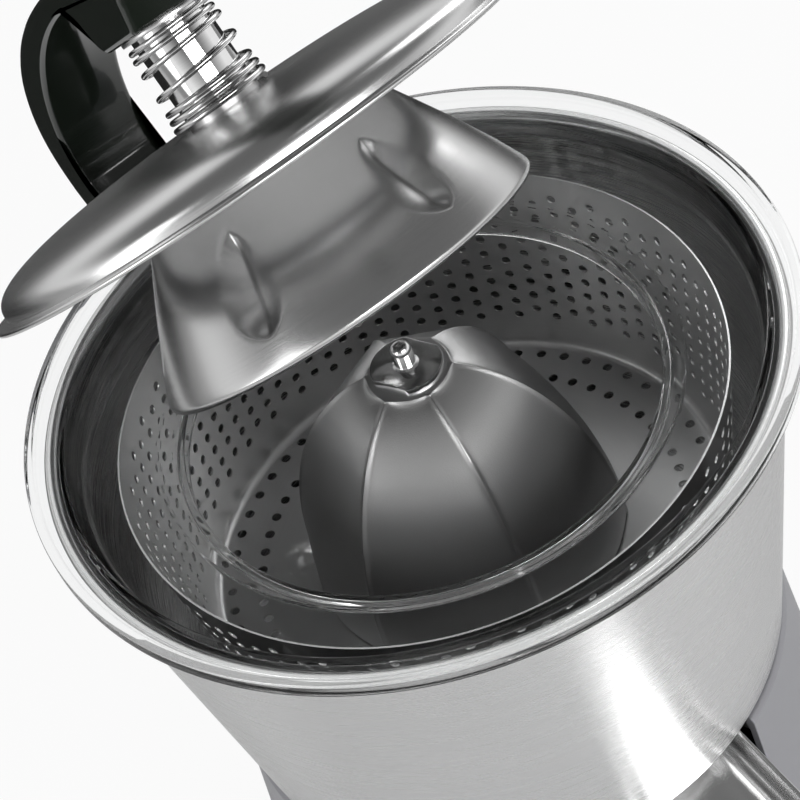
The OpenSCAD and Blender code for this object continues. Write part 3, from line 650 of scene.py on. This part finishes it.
@dataclass
class Strainer:
    """Perforated steel basket."""

    floor: float = 228.0
    foot: float = 231.1
    top: float = 285.8
    middle: float = 262.0
    foot_r: float = 69.4
    top_r: float = 75.5
    brim: float = 1.2
    bend_out: float = 0.3
    bend_rise: float = 2.7
    sheet: float = 0.45
    columns: int = 80
    rows: int = 9
    pitch: float = 4.75
    first_row: float = 238.5
    wall_hole: float = 2.5
    floor_hole: float = 2.7
    floor_holes: int = 60
    floor_turn: float = 1.45
    hub_r: float = 12.2
    plain_r: float = 52.75
    inner_holes_r: float = 57.0
    between_r: float = 61.25
    outer_holes_r: float = 65.2
    floor_r: float = 67.2
    dimple_r: float = 46.0
    dimple_turn: float = -134.0
    dimple_rise: float = 1.5
    dimple_spread: float = 2.6

    def wall_point(self, angle: float, z: float) -> Vector:
        """Point of the inner wall at an angle from the front and a height, in metres."""
        share = (z - self.foot) / (self.top - self.foot)
        return Lathe.front(self.foot_r + (self.top_r - self.foot_r) * share, angle, z) * MM

    def cell(self, bm: bmesh.types.BMesh, edge: list[bmesh.types.BMVert], middle: Vector, hole: float) -> None:
        """Fills one cell of sheet round its hole.

        Args:
            bm: Mesh to add to.
            edge: The cell's corners and edge points, in order.
            middle: Middle of the hole, in metres.
            hole: Diameter of the hole in millimetres.
        """
        Lathe.skin(bm, [edge, [bm.verts.new(middle + (v.co - middle).normalized() * (hole * MM / 2)) for v in edge]])

    def wall(self, bm: bmesh.types.BMesh) -> None:
        """Builds the wall with its staggered holes and the bend under it.

        Args:
            bm: Mesh to add to.
        """
        step, around = self.pitch / 4, 4 * self.columns
        base, high = self.first_row - self.pitch / 2, 4 * self.rows + 2
        angles = [2 * math.pi * a / around for a in range(around)]
        found: dict[tuple[int, int], bmesh.types.BMVert] = {}

        def at(a: int, m: int) -> bmesh.types.BMVert:
            """Finds or makes a shared point.

            Args:
                a: Steps round.
                m: Steps up.

            Returns:
                The point.
            """
            key = (a % around, m)
            if key not in found:
                found[key] = bm.verts.new(self.wall_point(angles[key[0]], base + m * step))
            return found[key]

        def ring(r: float, z: float) -> list[bmesh.types.BMVert]:
            """A circle of new points."""
            return [bm.verts.new(Lathe.front(r, angle, z) * MM) for angle in angles]

        for column in range(self.columns):
            a, low = 4 * column, 2 * (column % 2)
            for row in range(self.rows):
                m = low + 4 * row
                edge = ([at(a - 2 + k, m) for k in range(4)] + [at(a + 2, m + k) for k in range(4)]
                        + [at(a + 2 - k, m + 4) for k in range(4)] + [at(a - 2, m + 4 - k) for k in range(4)])
                self.cell(bm, edge, self.wall_point(angles[a], base + (m + 2) * step), self.wall_hole)
            for m in range(high):
                if not low <= m < low + 4 * self.rows:
                    for k in range(a - 2, a + 2):
                        bm.faces.new([at(k, m), at(k + 1, m), at(k + 1, m + 1), at(k, m + 1)])
        above = [[at(a, high) for a in range(around)]]
        for z in (self.top - self.brim, self.top):
            above.append([bm.verts.new(self.wall_point(angle, z)) for angle in angles])
        below = [[at(a, 0) for a in range(around)], ring(self.foot_r + self.bend_out, self.foot + self.bend_rise)]
        reach, rise = self.foot_r - self.floor_r, self.foot - self.floor
        for turn in (math.radians(9 * k) for k in range(11)):
            below.append(ring(self.floor_r + reach * math.cos(turn), self.foot - rise * math.sin(turn)))
        Lathe.skin(bm, above)
        Lathe.skin(bm, below)

    def base(self, bm: bmesh.types.BMesh) -> None:
        """Builds the floor with its pressed dimple and its two rings of holes.

        Args:
            bm: Mesh to add to.
        """
        around, plain = 4 * self.floor_holes, 36
        pressed = Lathe.front(self.dimple_r, math.radians(self.dimple_turn), 0)

        def at(r: float, a: int) -> Vector:
            """Point of the floor.

            Args:
                r: Radius.
                a: Steps round.

            Returns:
                The point, in metres.
            """
            point = Lathe.front(r, math.radians(self.floor_turn) + 2 * math.pi * a / around, 0)
            rise = self.dimple_rise * math.exp(-((point - pressed).length / self.dimple_spread) ** 2)
            return (point + Vector((0, 0, self.floor + rise))) * MM

        def ring(r: float) -> list[bmesh.types.BMVert]:
            """A circle of new points."""
            return [bm.verts.new(at(r, a)) for a in range(around)]

        rings = [ring(self.hub_r + (self.plain_r - self.hub_r) * k / plain) for k in range(plain + 1)]
        Lathe.skin(bm, rings)
        inner = rings[-1]
        for low, mid, high in ((self.plain_r, self.inner_holes_r, self.between_r),
                               (self.between_r, self.outer_holes_r, self.floor_r)):
            outer = ring(high)
            seams = []
            for a in range(2, around, 4):
                between = [bm.verts.new(at(low + (high - low) * k / 4, a)) for k in (1, 2, 3)]
                seams.append([inner[a], *between, outer[a]])
            for hole in range(self.floor_holes):
                a = 4 * hole
                edge = ([inner[a - 2 + k] for k in range(4)] + seams[hole][:4]
                        + [outer[a + 2 - k] for k in range(4)] + seams[hole - 1][:0:-1])
                self.cell(bm, edge, at(mid, a), self.floor_hole)
            inner = outer

    def build(self, shop: Workshop) -> None:
        """Builds the basket as one sheet with a thickness.

        Args:
            shop: Workshop that makes the piece.
        """
        bm = bmesh.new()
        self.wall(bm)
        self.base(bm)
        inside = Vector((0, 0, self.middle * MM))
        for face in bm.faces:
            face.normal_update()
            if face.normal.dot(inside - face.calc_center_median()) < 0:
                face.normal_flip()
        bmesh.ops.solidify(bm, geom=bm.faces[:], thickness=self.sheet * MM)
        shop.piece("strainer_basket", bm, "base", "strainer_steel", ["strainer"], shop.layout.stand())


@dataclass
class Reamer:
    """Domed reamer with six ridges and scooped faces between them, and its polished cap."""

    foot: float = 229.0
    top: float = 295.14
    radius: float = 41.2
    power: float = 2.087
    face_low: float = 0.99
    face_high: float = 0.86
    ridges: int = 6
    rib: float = 0.4
    rib_half: float = 0.7
    ridge_turn: float = -11.0
    platform: float = 293.7
    crown_round: float = 0.35
    core: float = 10.3
    core_blend: float = 0.9
    blend_end: float = 40.0
    socket_r: float = 12.0
    bore_r: float = 3.05
    disc_r: float = 9.0
    disc_high: float = 2.2
    disc_half: float = 7.6
    disc_turn: float = 20.0
    pin_r: float = 2.6
    pin_rise: float = 4.4
    pin_dome: float = 2.4

    def reach(self, z: float, turn: float) -> float:
        """Radius of the body.

        Args:
            z: Height.
            turn: Angle in degrees from the middle of a face.

        Returns:
            Radius in millimetres.
        """
        share = (z - self.foot) / (self.top - self.foot)
        ridge = self.radius * max(0.0, 1 - share ** self.power) ** (1 / self.power)
        face = self.face_low + (self.face_high - self.face_low) * share
        half = math.radians(180 / self.ridges)
        bow = 2 * face - 2 * math.cos(half)
        offset = (face * face - 1) / (bow if abs(bow) > 1e-3 else 1e-3)
        bend, side = face - offset, offset * math.sin(math.radians(turn))
        plain = ridge * (offset * math.cos(math.radians(turn))
                         + math.copysign(math.sqrt(max(0.0, bend * bend - side * side)), bend))
        gap = ridge * math.radians(180 / self.ridges - abs(turn))
        plain += self.rib * math.exp(-(gap / self.rib_half) ** 2)
        if plain >= self.blend_end:
            return plain
        return self.core_blend * math.log(math.exp(plain / self.core_blend) + math.exp(self.core / self.core_blend))

    def body(self) -> bmesh.types.BMesh:
        """Builds the dome with its ridges and the platform on top.

        Returns:
            The mesh, in metres.
        """
        # Degrees from a ridge, close together beside it.
        near = [0, 0.4, 0.8, 1.2, 1.7, 2.3, 3.2, 4.6, 6.5, 9, 12, 15.5, 19, 23, 27]
        face, half, levels = 360 / self.ridges, 180 / self.ridges, 72
        turns = near + [half] + [face - a for a in near[:0:-1]]
        last = self.platform - self.crown_round
        bm = bmesh.new()
        rings = []

        def ring(form: Callable[[float], Point2]) -> None:
            """Adds a ring whose radius and height follow the angle from a ridge."""
            spots = [(*form(a), face * k + a + self.ridge_turn) for k in range(self.ridges) for a in turns]
            rings.append([bm.verts.new(Lathe.front(r, math.radians(turn), z) * MM) for r, z, turn in spots])

        ring(lambda a: (self.socket_r, self.foot))
        for level in range(levels + 1):
            height = self.foot + (last - self.foot) * math.sin(math.pi / 2 * level / levels)
            ring(lambda a, z=height: (self.reach(z, a - half), z))
        for pull, drop in ((0.1, 0.12), (self.crown_round, 0.0)):
            ring(lambda a, p=pull, d=drop: (self.reach(last, a - half) - p, self.platform - d))
        for r in (8.0, self.bore_r):
            ring(lambda a, flat=r: (flat, self.platform))
        Lathe.skin(bm, rings)
        return bm

    def cap(self) -> bmesh.types.BMesh:
        """Builds the disc with two flats and the pin on it.

        Returns:
            The mesh, in metres.
        """
        bm = bmesh.new()
        steps, turn = 96, math.radians(self.disc_turn)
        outline = []
        for angle in (2 * math.pi * k / steps for k in range(steps)):
            x = max(-self.disc_half, min(self.disc_half, self.disc_r * math.cos(angle)))
            y = self.disc_r * math.sin(angle)
            outline.append((x * math.cos(turn) - y * math.sin(turn), x * math.sin(turn) + y * math.cos(turn)))
        rings = []
        high = self.disc_high
        for inset, z in ((0.0, 0.0), (0.0, high - 0.4), (0.12, high - 0.1), (0.4, high)):
            size, lift = 1 - inset / self.disc_r, (self.platform + z) * MM
            rings.append([bm.verts.new((x * size * MM, y * size * MM, lift)) for x, y in outline])
        Lathe.skin(bm, rings)
        bm.faces.new(rings[-1])
        bm.faces.new(rings[0][::-1])
        base = self.platform + high - 0.05
        shoulder, r = base + self.pin_rise, self.pin_r
        pin = Lathe.rounded([
            (r + 0.7, base, 0), (r + 0.4, base + 0.25, 0.3), (r, base + 0.6, 0.3), (r, shoulder, 0)], 4, False)
        arc = [math.radians(a) for a in range(6, 90, 7)]
        dome = [(r * math.cos(a), shoulder + self.pin_dome * math.sin(a)) for a in arc]
        return Lathe.turn(pin + dome + [(0.0, shoulder + self.pin_dome)], 48, None, False, bm)

    def build(self, shop: Workshop) -> None:
        """Builds the reamer and its cap."""
        shop.piece("reamer_body", self.body(), "spindle", "reamer_steel", ["reamer"], shop.layout.stand(), 50.0)
        shop.piece("reamer_disc", self.cap(), "spindle", "cap_steel", ["reamer_cap"], shop.layout.stand(), 35.0)


@dataclass
class PressHead:
    """Post, spring, lid and cup of the press, drawn with the lever down."""

    flange: float = 290.818
    flange_thick: float = 1.2
    flange_r: float = 73.25
    dome_r: float = 69.5
    dome_h: float = 11.1
    dome_power: float = 3.0
    dome_step: float = 0.3
    lid_flat: float = 3.0
    cup_sheet: float = 1.2
    post_r: float = 9.5
    post_foot_r: float = 8.0
    post_foot: float = 6.0
    post_bore: float = 3.2
    post_rise: float = 7.2
    boss: float = 328.318
    wire: float = 1.45
    coil_r: float = 12.6
    taper: float = 2.0
    coil_gap: float = 0.15
    close_gap: float = 0.6
    open_from: float = 2.6
    open_over: float = 2.6
    washer: float = 1.0
    washer_gap: float = 0.3
    washer_over: float = 1.0
    travel: float = 8.0
    screw_drop: float = 3.2
    turns: int = 7
    dents: int = 6
    dent_turn: float = -43.0
    dent_lean: float = 32.0
    dent_drop: float = 19.6
    dent_depth: float = 2.7
    dent_down: float = 12.4
    dent_up: float = 13.6
    dent_right: float = 6.4
    dent_left: float = 8.2

    @property
    def dome_base(self) -> float:
        """Height at which the dome leaves the flange."""
        return self.flange + self.flange_thick + self.dome_step

    @property
    def dome_top(self) -> float:
        """Height of the dome's flat top."""
        return self.dome_base + self.dome_h

    @staticmethod
    def bent(a: float, b: float, n: float, t: float) -> Point2:
        """Point of a quarter superellipse at an angle from its top."""
        s, c = math.sin(math.radians(t)), math.cos(math.radians(t))
        return a * max(0.0, s) ** (2 / n), b * max(0.0, c) ** (2 / n)

    def lid(self) -> bmesh.types.BMesh:
        """Turns the lid's dome and flange.

        Returns:
            The mesh, in metres.
        """
        t, steps = self.flange_thick, 40

        def dome(deep: float) -> list[Point2]:
            """Draws the side of the dome from near the post to its foot.

            Args:
                deep: Depth below the lid's skin.

            Returns:
                Radius and height of each point.
            """
            a, b, n = self.dome_r - deep, self.dome_h - deep, self.dome_power
            line = [self.bent(a, b, n, 90 * k / steps) for k in range(steps + 1)]
            return [(r, z + self.dome_base) for r, z in line if r > self.post_r + self.lid_flat + 1]

        edge = Lathe.rounded([
            (self.dome_r + 0.6, self.flange + t, 0.4), (self.flange_r, self.flange + t, 0.55),
            (self.flange_r, self.flange, 0.55), (self.dome_r - t, self.flange, 0.3)], 4, False)
        flat = [(self.post_foot_r, self.dome_top), (self.post_r + self.lid_flat, self.dome_top)]
        lower = [(r, z - t) for r, z in reversed(flat)]
        return Lathe.turn(flat + dome(0.0) + edge + dome(t)[::-1] + lower, ROUND_STEPS)

    def dent(self, across: float, along: float) -> float:
        """Depth of a pressed dent at a place on the cup.

        Args:
            across: Distance to the right of the dent's crease.
            along: Distance down the slope from the dent's middle.

        Returns:
            Depth in millimetres.
        """
        run = along / (self.dent_down if along > 0 else self.dent_up)
        if abs(run) >= 1:
            return 0.0
        half = self.dent_right if across > 0 else self.dent_left
        wide = half * (1 - abs(run) ** 2.4) ** 0.5 * (1.0 + 0.14 * run)
        rise = 1 - abs(across) / max(wide, 0.2)
        if rise <= 0:
            return 0.0
        return self.dent_depth * rise ** 1.35 * (1 - abs(run) ** 3) ** 0.8

    def cup(self) -> bmesh.types.BMesh:
        """Turns the press cup and presses its dents.

        Returns:
            The mesh, in metres.
        """
        t, top = self.cup_sheet, self.dome_top - self.flange_thick
        # The cup's side from its flat top to its rolled edge.
        knots = [(14.0, top), (19.6, top - 0.5), (21.6, top - 1.6), (29.6, 292.4), (35.9, 282.4), (42.0, 272.4),
                 (46.3, 264.4), (49.3, 258.4), (50.9, 254.9), (51.2, 253.6), (50.7, 252.6), (49.6, 252.3)]
        outer = self.smoothed(knots, 8)
        inner = []
        for k, (r, z) in enumerate(outer):
            back, ahead = outer[max(0, k - 1)], outer[min(len(outer) - 1, k + 1)]
            run = Vector((ahead[0] - back[0], ahead[1] - back[1])).normalized()
            inner.append((r + run.y * t, z - run.x * t))
        bore = self.post_foot_r + 0.1
        outline = [(bore, top)] + outer + inner[::-1] + [(bore, top - t)]
        lean, half = math.radians(self.dent_lean), 180 / self.dents
        middle = self.flange - self.dent_drop

        def shape(angle: float, number: int) -> Point2:
            """Presses the dents into a point of the cup.

            Args:
                angle: Its angle in radians.
                number: Its number in the outline.

            Returns:
                Its radius and height.
            """
            r, z = outline[number]
            if not 1 <= number <= 2 * len(outer):
                return r, z
            off = (math.degrees(angle) + 90 - self.dent_turn + half) % (2 * half) - half
            deep = self.dent(math.radians(off) * r, (middle - z) / math.cos(lean))
            return r - deep * math.cos(lean), z - deep * math.sin(lean)

        return Lathe.turn(outline, 576, shape)

    @staticmethod
    def smoothed(knots: Sequence[Point2], steps: int) -> list[Point2]:
        """Runs a smooth line through knots.

        Args:
            knots: Points on the line.
            steps: Steps from each knot to the next.

        Returns:
            Points of the line.
        """
        line = []
        for k in range(len(knots) - 1):
            p0, p1, p2, p3 = (Vector(knots[min(len(knots) - 1, max(0, k + i))]) for i in (-1, 0, 1, 2))
            for step in range(steps):
                t = step / steps
                point = 0.5 * (2 * p1 + (p2 - p0) * t + (2 * p0 - 5 * p1 + 4 * p2 - p3) * t * t
                               + (3 * p1 - p0 - 3 * p2 + p3) * t ** 3)
                line.append((point.x, point.y))
        return line + [knots[-1]]

    def coil(self) -> bmesh.types.BMesh:
        """Builds the spring as one round wire.

        Returns:
            The mesh, in metres.
        """
        low = self.dome_top + self.wire / 2 + self.coil_gap
        high = self.boss - self.washer - self.wire / 2 - self.coil_gap
        close = self.wire + self.close_gap
        spare = high - low - close * self.turns

        def ease(x: float) -> float:
            """Smooth step."""
            c = min(1.0, max(0.0, x))
            return c * c * (3 - 2 * c)

        steps, sides = 56 * self.turns, 14
        line = []
        for k in range(steps + 1):
            t = k * self.turns / steps
            r = self.coil_r - self.taper * t / self.turns
            line.append(Vector((r * math.cos(2 * math.pi * t), r * math.sin(2 * math.pi * t),
                                low + close * t + spare * ease((t - self.open_from) / self.open_over))))
        bm = bmesh.new()
        rings = []
        for k, point in enumerate(line):
            ahead = (line[min(steps, k + 1)] - line[max(0, k - 1)]).normalized()
            out = ahead.cross(Vector((0, 0, 1))).normalized()
            up = ahead.cross(out)
            turns = [2 * math.pi * s / sides for s in range(sides)]
            rings.append([bm.verts.new((point + (out * math.cos(a) + up * math.sin(a)) * (self.wire / 2)) * MM)
                          for a in turns])
        Lathe.skin(bm, rings)
        bm.faces.new(rings[0])
        bm.faces.new(rings[-1][::-1])
        return bm

    def build(self, shop: Workshop) -> None:
        """Builds the parts of the press head.

        Args:
            shop: Workshop that makes the pieces.
        """
        place = shop.layout.opened()
        shop.piece("lid_shell", self.lid(), "press_head", "lid_steel", ["lid_dome"], place)
        shop.piece("cup_shell", self.cup(), "press_head", "cup_steel", ["press_cup"], place, 60.0)
        low, high = self.dome_top - self.post_foot, self.boss + self.post_rise
        post = Lathe.rounded([
            (self.post_foot_r, low, 0.3), (self.post_foot_r, self.dome_top, 0), (self.post_r, self.dome_top, 0.3),
            (self.post_r, high, 0.4), (self.post_bore, high, 0)], 4, False)
        shop.piece("guide_post_tube", Lathe.turn(post + [(self.post_bore, low)], 128), "press_head", "post_chrome",
                   ["guide_post"], place)
        spring = shop.piece("press_coil", self.coil(), "lever", "spring_steel", ["press_spring"], place, 60.0)
        under = self.boss - self.washer
        near, far = self.post_r + self.washer_gap, self.coil_r - self.taper + self.washer_over
        ring = Lathe.rounded([
            (near, under, 0.1), (far, under, 0.2), (far, self.boss, 0.1), (near, self.boss, 0.1)], 2)
        shop.piece("coil_washer", Lathe.turn(ring, 96), "lever", "zinc_screw", ["spring_washer"], place)
        axis = place.to_3x3() @ Vector((0, 0, 1))
        shop.softened("post_screw", "post_screw_head", "press_head", "zinc_screw", 0.2, 2,
                      axis * (-self.screw_drop * MM))
        held = place @ Vector((0, 0, under * MM))
        length = under - self.dome_top
        (length - self.travel) / length
        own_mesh(spring)


@dataclass
class Lever:
    """Gloss black arched arm, drawn with the lever down."""

    hinge_back: float = 104.0
    hinge_z: float = 261.309
    half: float = 12.0
    eye_r: float = 12.0
    handle: float = 150.0
    boss: float = PressHead.boss
    under_rise: float = 13.8
    top_rise: float = 20.8
    level: float = 301.518
    back_out: float = 19.0
    front_out: float = 1.0
    outer_start: float = 30.0
    inner_start: float = 23.0
    outer_round: float = 5.0
    inner_round: float = 1.6
    end_round: float = 4.0

    def outline(self) -> list[tuple[float, float, float]]:
        """Draws the arm from the side.

        Returns:
            Distance behind the bowl's axis, height and edge rounding of each point.
        """
        under, top = self.boss + self.under_rise, self.boss + self.top_rise
        edge, steps = self.inner_round, 32

        def arch(start: float, stop: float, crown: float, power: float) -> list[Point2]:
            """Quarter arch from its crown to the hinge column."""
            line = [PressHead.bent(stop - start, crown - self.level, power, 90 * k / steps) for k in range(steps + 1)]
            return [(y + start, z + self.level) for y, z in line]

        def arc(y: float, z: float, r: float, degrees: range) -> list[Point2]:
            """Points of a circle."""
            return [(y + r * math.cos(math.radians(a)), z + r * math.sin(math.radians(a))) for a in degrees]

        outer = arch(self.outer_start, self.hinge_back + self.back_out, top, 2.4)
        inner = arch(self.inner_start, self.hinge_back + self.front_out, under, 2.0)
        grip, grip_top, grip_low = 8 - self.handle, top - 3, under - 10
        below = Lathe.rounded([
            (self.inner_start, under, 0), (19.5, under - 4, 4), (17.6, self.boss + 2, 4), (14.5, self.boss, 2.5),
            (-12.5, self.boss, 3), (-18, self.boss + 9, 6), (-27, under - 4.5, 10), (-60, under - 7, 30),
            (grip, grip_low, 0)], 6, False)
        end = arc(grip, (grip_top + grip_low) / 2, (grip_top - grip_low) / 2, range(260, 99, -16))
        points = [(y, z, self.outer_round) for y, z in outer]
        points += [(y, z, edge) for y, z in arc(self.hinge_back, self.hinge_z, self.eye_r, range(12, -193, -12))]
        points += [(y, z, edge) for y, z in inner[::-1] + below[1:-1]]
        return points + [(y, z, self.end_round) for y, z in end]

    def arm(self) -> bmesh.types.BMesh:
        """Builds the arm as its side outline with rounded edges.

        Returns:
            The mesh, in metres.
        """
        points = self.outline()
        count = len(points)
        normals = []
        for k in range(count):
            back, ahead = Vector(points[k - 1][:2]), Vector(points[(k + 1) % count][:2])
            run = (ahead - back).normalized()
            normals.append(Vector((run.y, -run.x)))
        area = sum(points[k - 1][0] * points[k][1] - points[k][0] * points[k - 1][1] for k in range(count))
        inward = 1.0 if area < 0 else -1.0
        bm = bmesh.new()
        steps = 6
        levels = [(math.pi / 2 * k / steps, -1) for k in range(steps + 1)]
        levels += [(math.pi / 2 * (steps - k) / steps, 1) for k in range(steps + 1)]
        rings = []
        for turn, side in levels:
            ring = []
            for (y, z, radius), normal in zip(points, normals):
                pull = radius * (1 - math.sin(turn))
                x = side * (self.half - radius * (1 - math.cos(turn)))
                ring.append(bm.verts.new((x * MM, (y + inward * normal.x * pull) * MM,
                                          (z + inward * normal.y * pull) * MM)))
            rings.append(ring)
        Lathe.skin(bm, rings)
        sides = [bm.faces.new(rings[0]), bm.faces.new(rings[-1][::-1])]
        bmesh.ops.triangulate(bm, faces=sides, ngon_method="EAR_CLIP")
        return bm

    def build(self, shop: Workshop) -> None:
        """Builds the arm in its open place.

        Args:
            shop: Workshop that makes the piece.
        """
        bm = self.arm()
        bm.transform(shop.layout.opened())
        shop.piece("arm_body", bm, "lever", "arm_black", ["lever_arm"], None, 30.0)


@dataclass
class Housing:
    """Grey motor housing and the small parts on it."""

    shell_edge: float = 0.9
    spout_edge: float = 0.4
    bezel_edge: float = 0.4
    key_edge: float = 0.5
    cap_edge: float = 0.6
    foot_edge: float = 0.7
    inlet_edge: float = 0.5

    def build(self, shop: Workshop) -> None:
        """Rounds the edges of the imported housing, spout, switch and small parts.

        Args:
            shop: Workshop that makes the pieces.
        """
        shop.softened("housing_shell", "housing_body", "base", "housing_grey", self.shell_edge)
        shop.softened("spout", "spout_trough", "base", "spout_steel", self.spout_edge, 2)
        shop.softened("switch_frame", "switch_bezel", "base", "switch_black", self.bezel_edge)
        shop.softened("switch_rocker", "switch_key", "rocker", "switch_black", self.key_edge)
        shop.softened("hinge_caps", "hinge_cap_pair", "base", "switch_black", self.cap_edge)
        shop.softened("rubber_feet", "foot_set", "base", "rubber", self.foot_edge)
        shop.softened("cord_gland", "cord_inlet", "base", "switch_black", self.inlet_edge)


@dataclass
class Studio:
    """Floor, light and camera, in metres."""

    layout: Layout
    place: Vector = field(default_factory=lambda: Vector((-0.1535, -0.3316955, 0.65057)))
    right: Vector = field(default_factory=lambda: Vector((0.74626, -0.61464, -0.25561)))
    up: Vector = field(default_factory=lambda: Vector((0.59961, 0.45389, 0.65914)))
    back: Vector = field(default_factory=lambda: Vector((-0.28911, -0.64514, 0.70725)))
    focal_pixels: float = 2141.99
    picture_pixels: float = 800.0
    sensor: float = 36.0
    aim: tuple[float, float, float] = (0.0, 0.0, 0.28)
    floor_glow: float = 0.92
    pale: float = 0.95
    pale_to: float = 0.22
    dark: float = 0.17
    dark_from: float = 0.52

    @staticmethod
    def seen(g: Graph) -> Sock:
        """Tells the rays that show the background.

        Args:
            g: Tree to add to.

        Returns:
            One for rays that come from the camera or through clear plastic.
        """
        outs = g.node("ShaderNodeLightPath").socket.node.outputs
        camera, through = Sock(g, outs["Is Camera Ray"]), Sock(g, outs["Is Transmission Ray"])
        return camera.maths("MAXIMUM", camera, through)

    def sheet(self, name: str, middle: Sequence[float], size: Sequence[float], tone: float, shown: bool) -> None:
        """Lays a flat sheet of the studio.

        Args:
            name: Name of the sheet.
            middle: Its middle.
            size: Half its width and depth.
            tone: Its grey.
            shown: Whether the camera sees it; a shown sheet is the white floor that keeps a faint shadow.
        """
        mesh = bpy.data.meshes.new(name)
        corners = [(middle[0] + u * size[0], middle[1] + v * size[1], middle[2])
                   for u, v in ((-1, -1), (1, -1), (1, 1), (-1, 1))]
        mesh.from_pydata(corners, [], [(0, 1, 2, 3)])
        made = bpy.data.objects.new(name, mesh)
        bpy.context.scene.collection.objects.link(made)
        paint, g = Graph.of_material(name)
        matt = g.node("ShaderNodeBsdfDiffuse", inputs={"Color": (tone, tone, tone, 1.0)})
        if shown:
            white = g.node("ShaderNodeEmission", inputs={"Color": (1, 1, 1, 1), "Strength": 1.0})
            matt = g.node("ShaderNodeMixShader", inputs={0: self.seen(g) * self.floor_glow, 1: matt, 2: white})
        g.node("ShaderNodeOutputMaterial", inputs={0: matt})
        mesh.materials.append(paint)
        for ray in ("camera", "diffuse", "transmission", "shadow"):
            setattr(made, "visible_" + ray, shown)

    def lamp(self, name: str, place: Sequence[float], size: Sequence[float], power: float) -> None:
        """Hangs one soft lamp.

        Args:
            name: Name of the lamp.
            place: Its place.
            size: Width and height.
            power: Power in watts.
        """
        data = bpy.data.lights.new(name, "AREA")
        data.shape, data.size, data.size_y, data.energy = "RECTANGLE", size[0], size[1], power
        made = bpy.data.objects.new(name, data)
        made.location = place
        made.rotation_euler = (Vector(self.aim) - Vector(place)).to_track_quat("-Z", "Y").to_euler()
        bpy.context.scene.collection.objects.link(made)

    def light(self) -> None:
        """Sets the studio world, pale round the horizon and darker overhead, and the soft lamps."""
        world = bpy.data.worlds.new("studio")
        world.use_nodes = True
        bpy.context.scene.world = world
        g = Graph(world.node_tree)
        ray = g.node("ShaderNodeTexCoord", output="Generated")
        height = Sock(g, g.node("ShaderNodeSeparateXYZ", inputs={0: ray}).socket.node.outputs[2])
        pale, dark = (self.pale,) * 3, (self.dark,) * 3
        stops = [(0.0, pale), (self.pale_to, pale), (self.dark_from, dark), (1.0, dark)]
        tone = g.node("ShaderNodeValToRGB", {"stops": stops}, {0: height})
        lit = g.node("ShaderNodeBackground", inputs={"Color": tone, "Strength": 1.0})
        shown = g.node("ShaderNodeBackground", inputs={"Color": (1, 1, 1, 1), "Strength": 1.0})
        mixed = g.node("ShaderNodeMixShader", inputs={0: self.seen(g), 1: lit, 2: shown})
        g.node("ShaderNodeOutputWorld", inputs={0: mixed})
        self.lamp("key", (0.0, -1.1, 0.98), (1.0, 0.45), 9.0)
        self.lamp("side", (-1.3, -0.1, 0.8), (0.5, 1.0), 4.0)
        self.lamp("rim", (1.1, 0.6, 1.0), (0.5, 0.9), 4.0)

    def camera(self) -> None:
        """Sets the camera at the viewing angle."""
        data = bpy.data.cameras.new("camera")
        data.sensor_fit, data.sensor_width = "HORIZONTAL", self.sensor
        data.lens = self.focal_pixels / self.picture_pixels * self.sensor
        data.clip_start, data.clip_end = 0.01, 50.0
        made = bpy.data.objects.new("camera", data)
        turn = Matrix((self.right, self.up, self.back)).transposed().to_4x4()
        made.matrix_world = self.layout.stand() @ Matrix.Translation(self.place) @ turn
        bpy.context.scene.collection.objects.link(made)
        bpy.context.scene.camera = made

    def build(self) -> None:
        """Builds the studio."""
        self.camera()
        self.sheet("floor", (0, 0, 0), (6, 6), 0.92, True)
        self.sheet("dark_mat", (0.3, 1.2, 0.002), (1.2, 0.75), 0.04, False)
        self.light()
        bpy.context.scene.view_settings.view_transform = "Standard"


def dress_nodes(finishes: Finishes) -> None:
    """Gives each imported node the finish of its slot.

    Args:
        finishes: The finishes of the press.
    """
    slots = {part["node"]: part["material_slot"] for part in frame["record"]["subparts"]}
    for name, node in frame["nodes"].items():
        node.data.materials.clear()
        node.data.materials.append(finishes.of(slots[name]))


def main() -> None:
    """Builds the press and its studio."""
    logging.basicConfig(level=logging.INFO, format="%(name)s %(message)s")
    finishes = Finishes()
    dress_nodes(finishes)
    layout = Layout.from_frame()
    shop = Workshop(finishes, layout)
    Studio(layout).build()
    for part in (Bowl(), SplashRing(), Strainer(), Reamer(), PressHead(), Lever(), Housing()):
        part.build(shop)


if __name__ == "__main__":
    main()
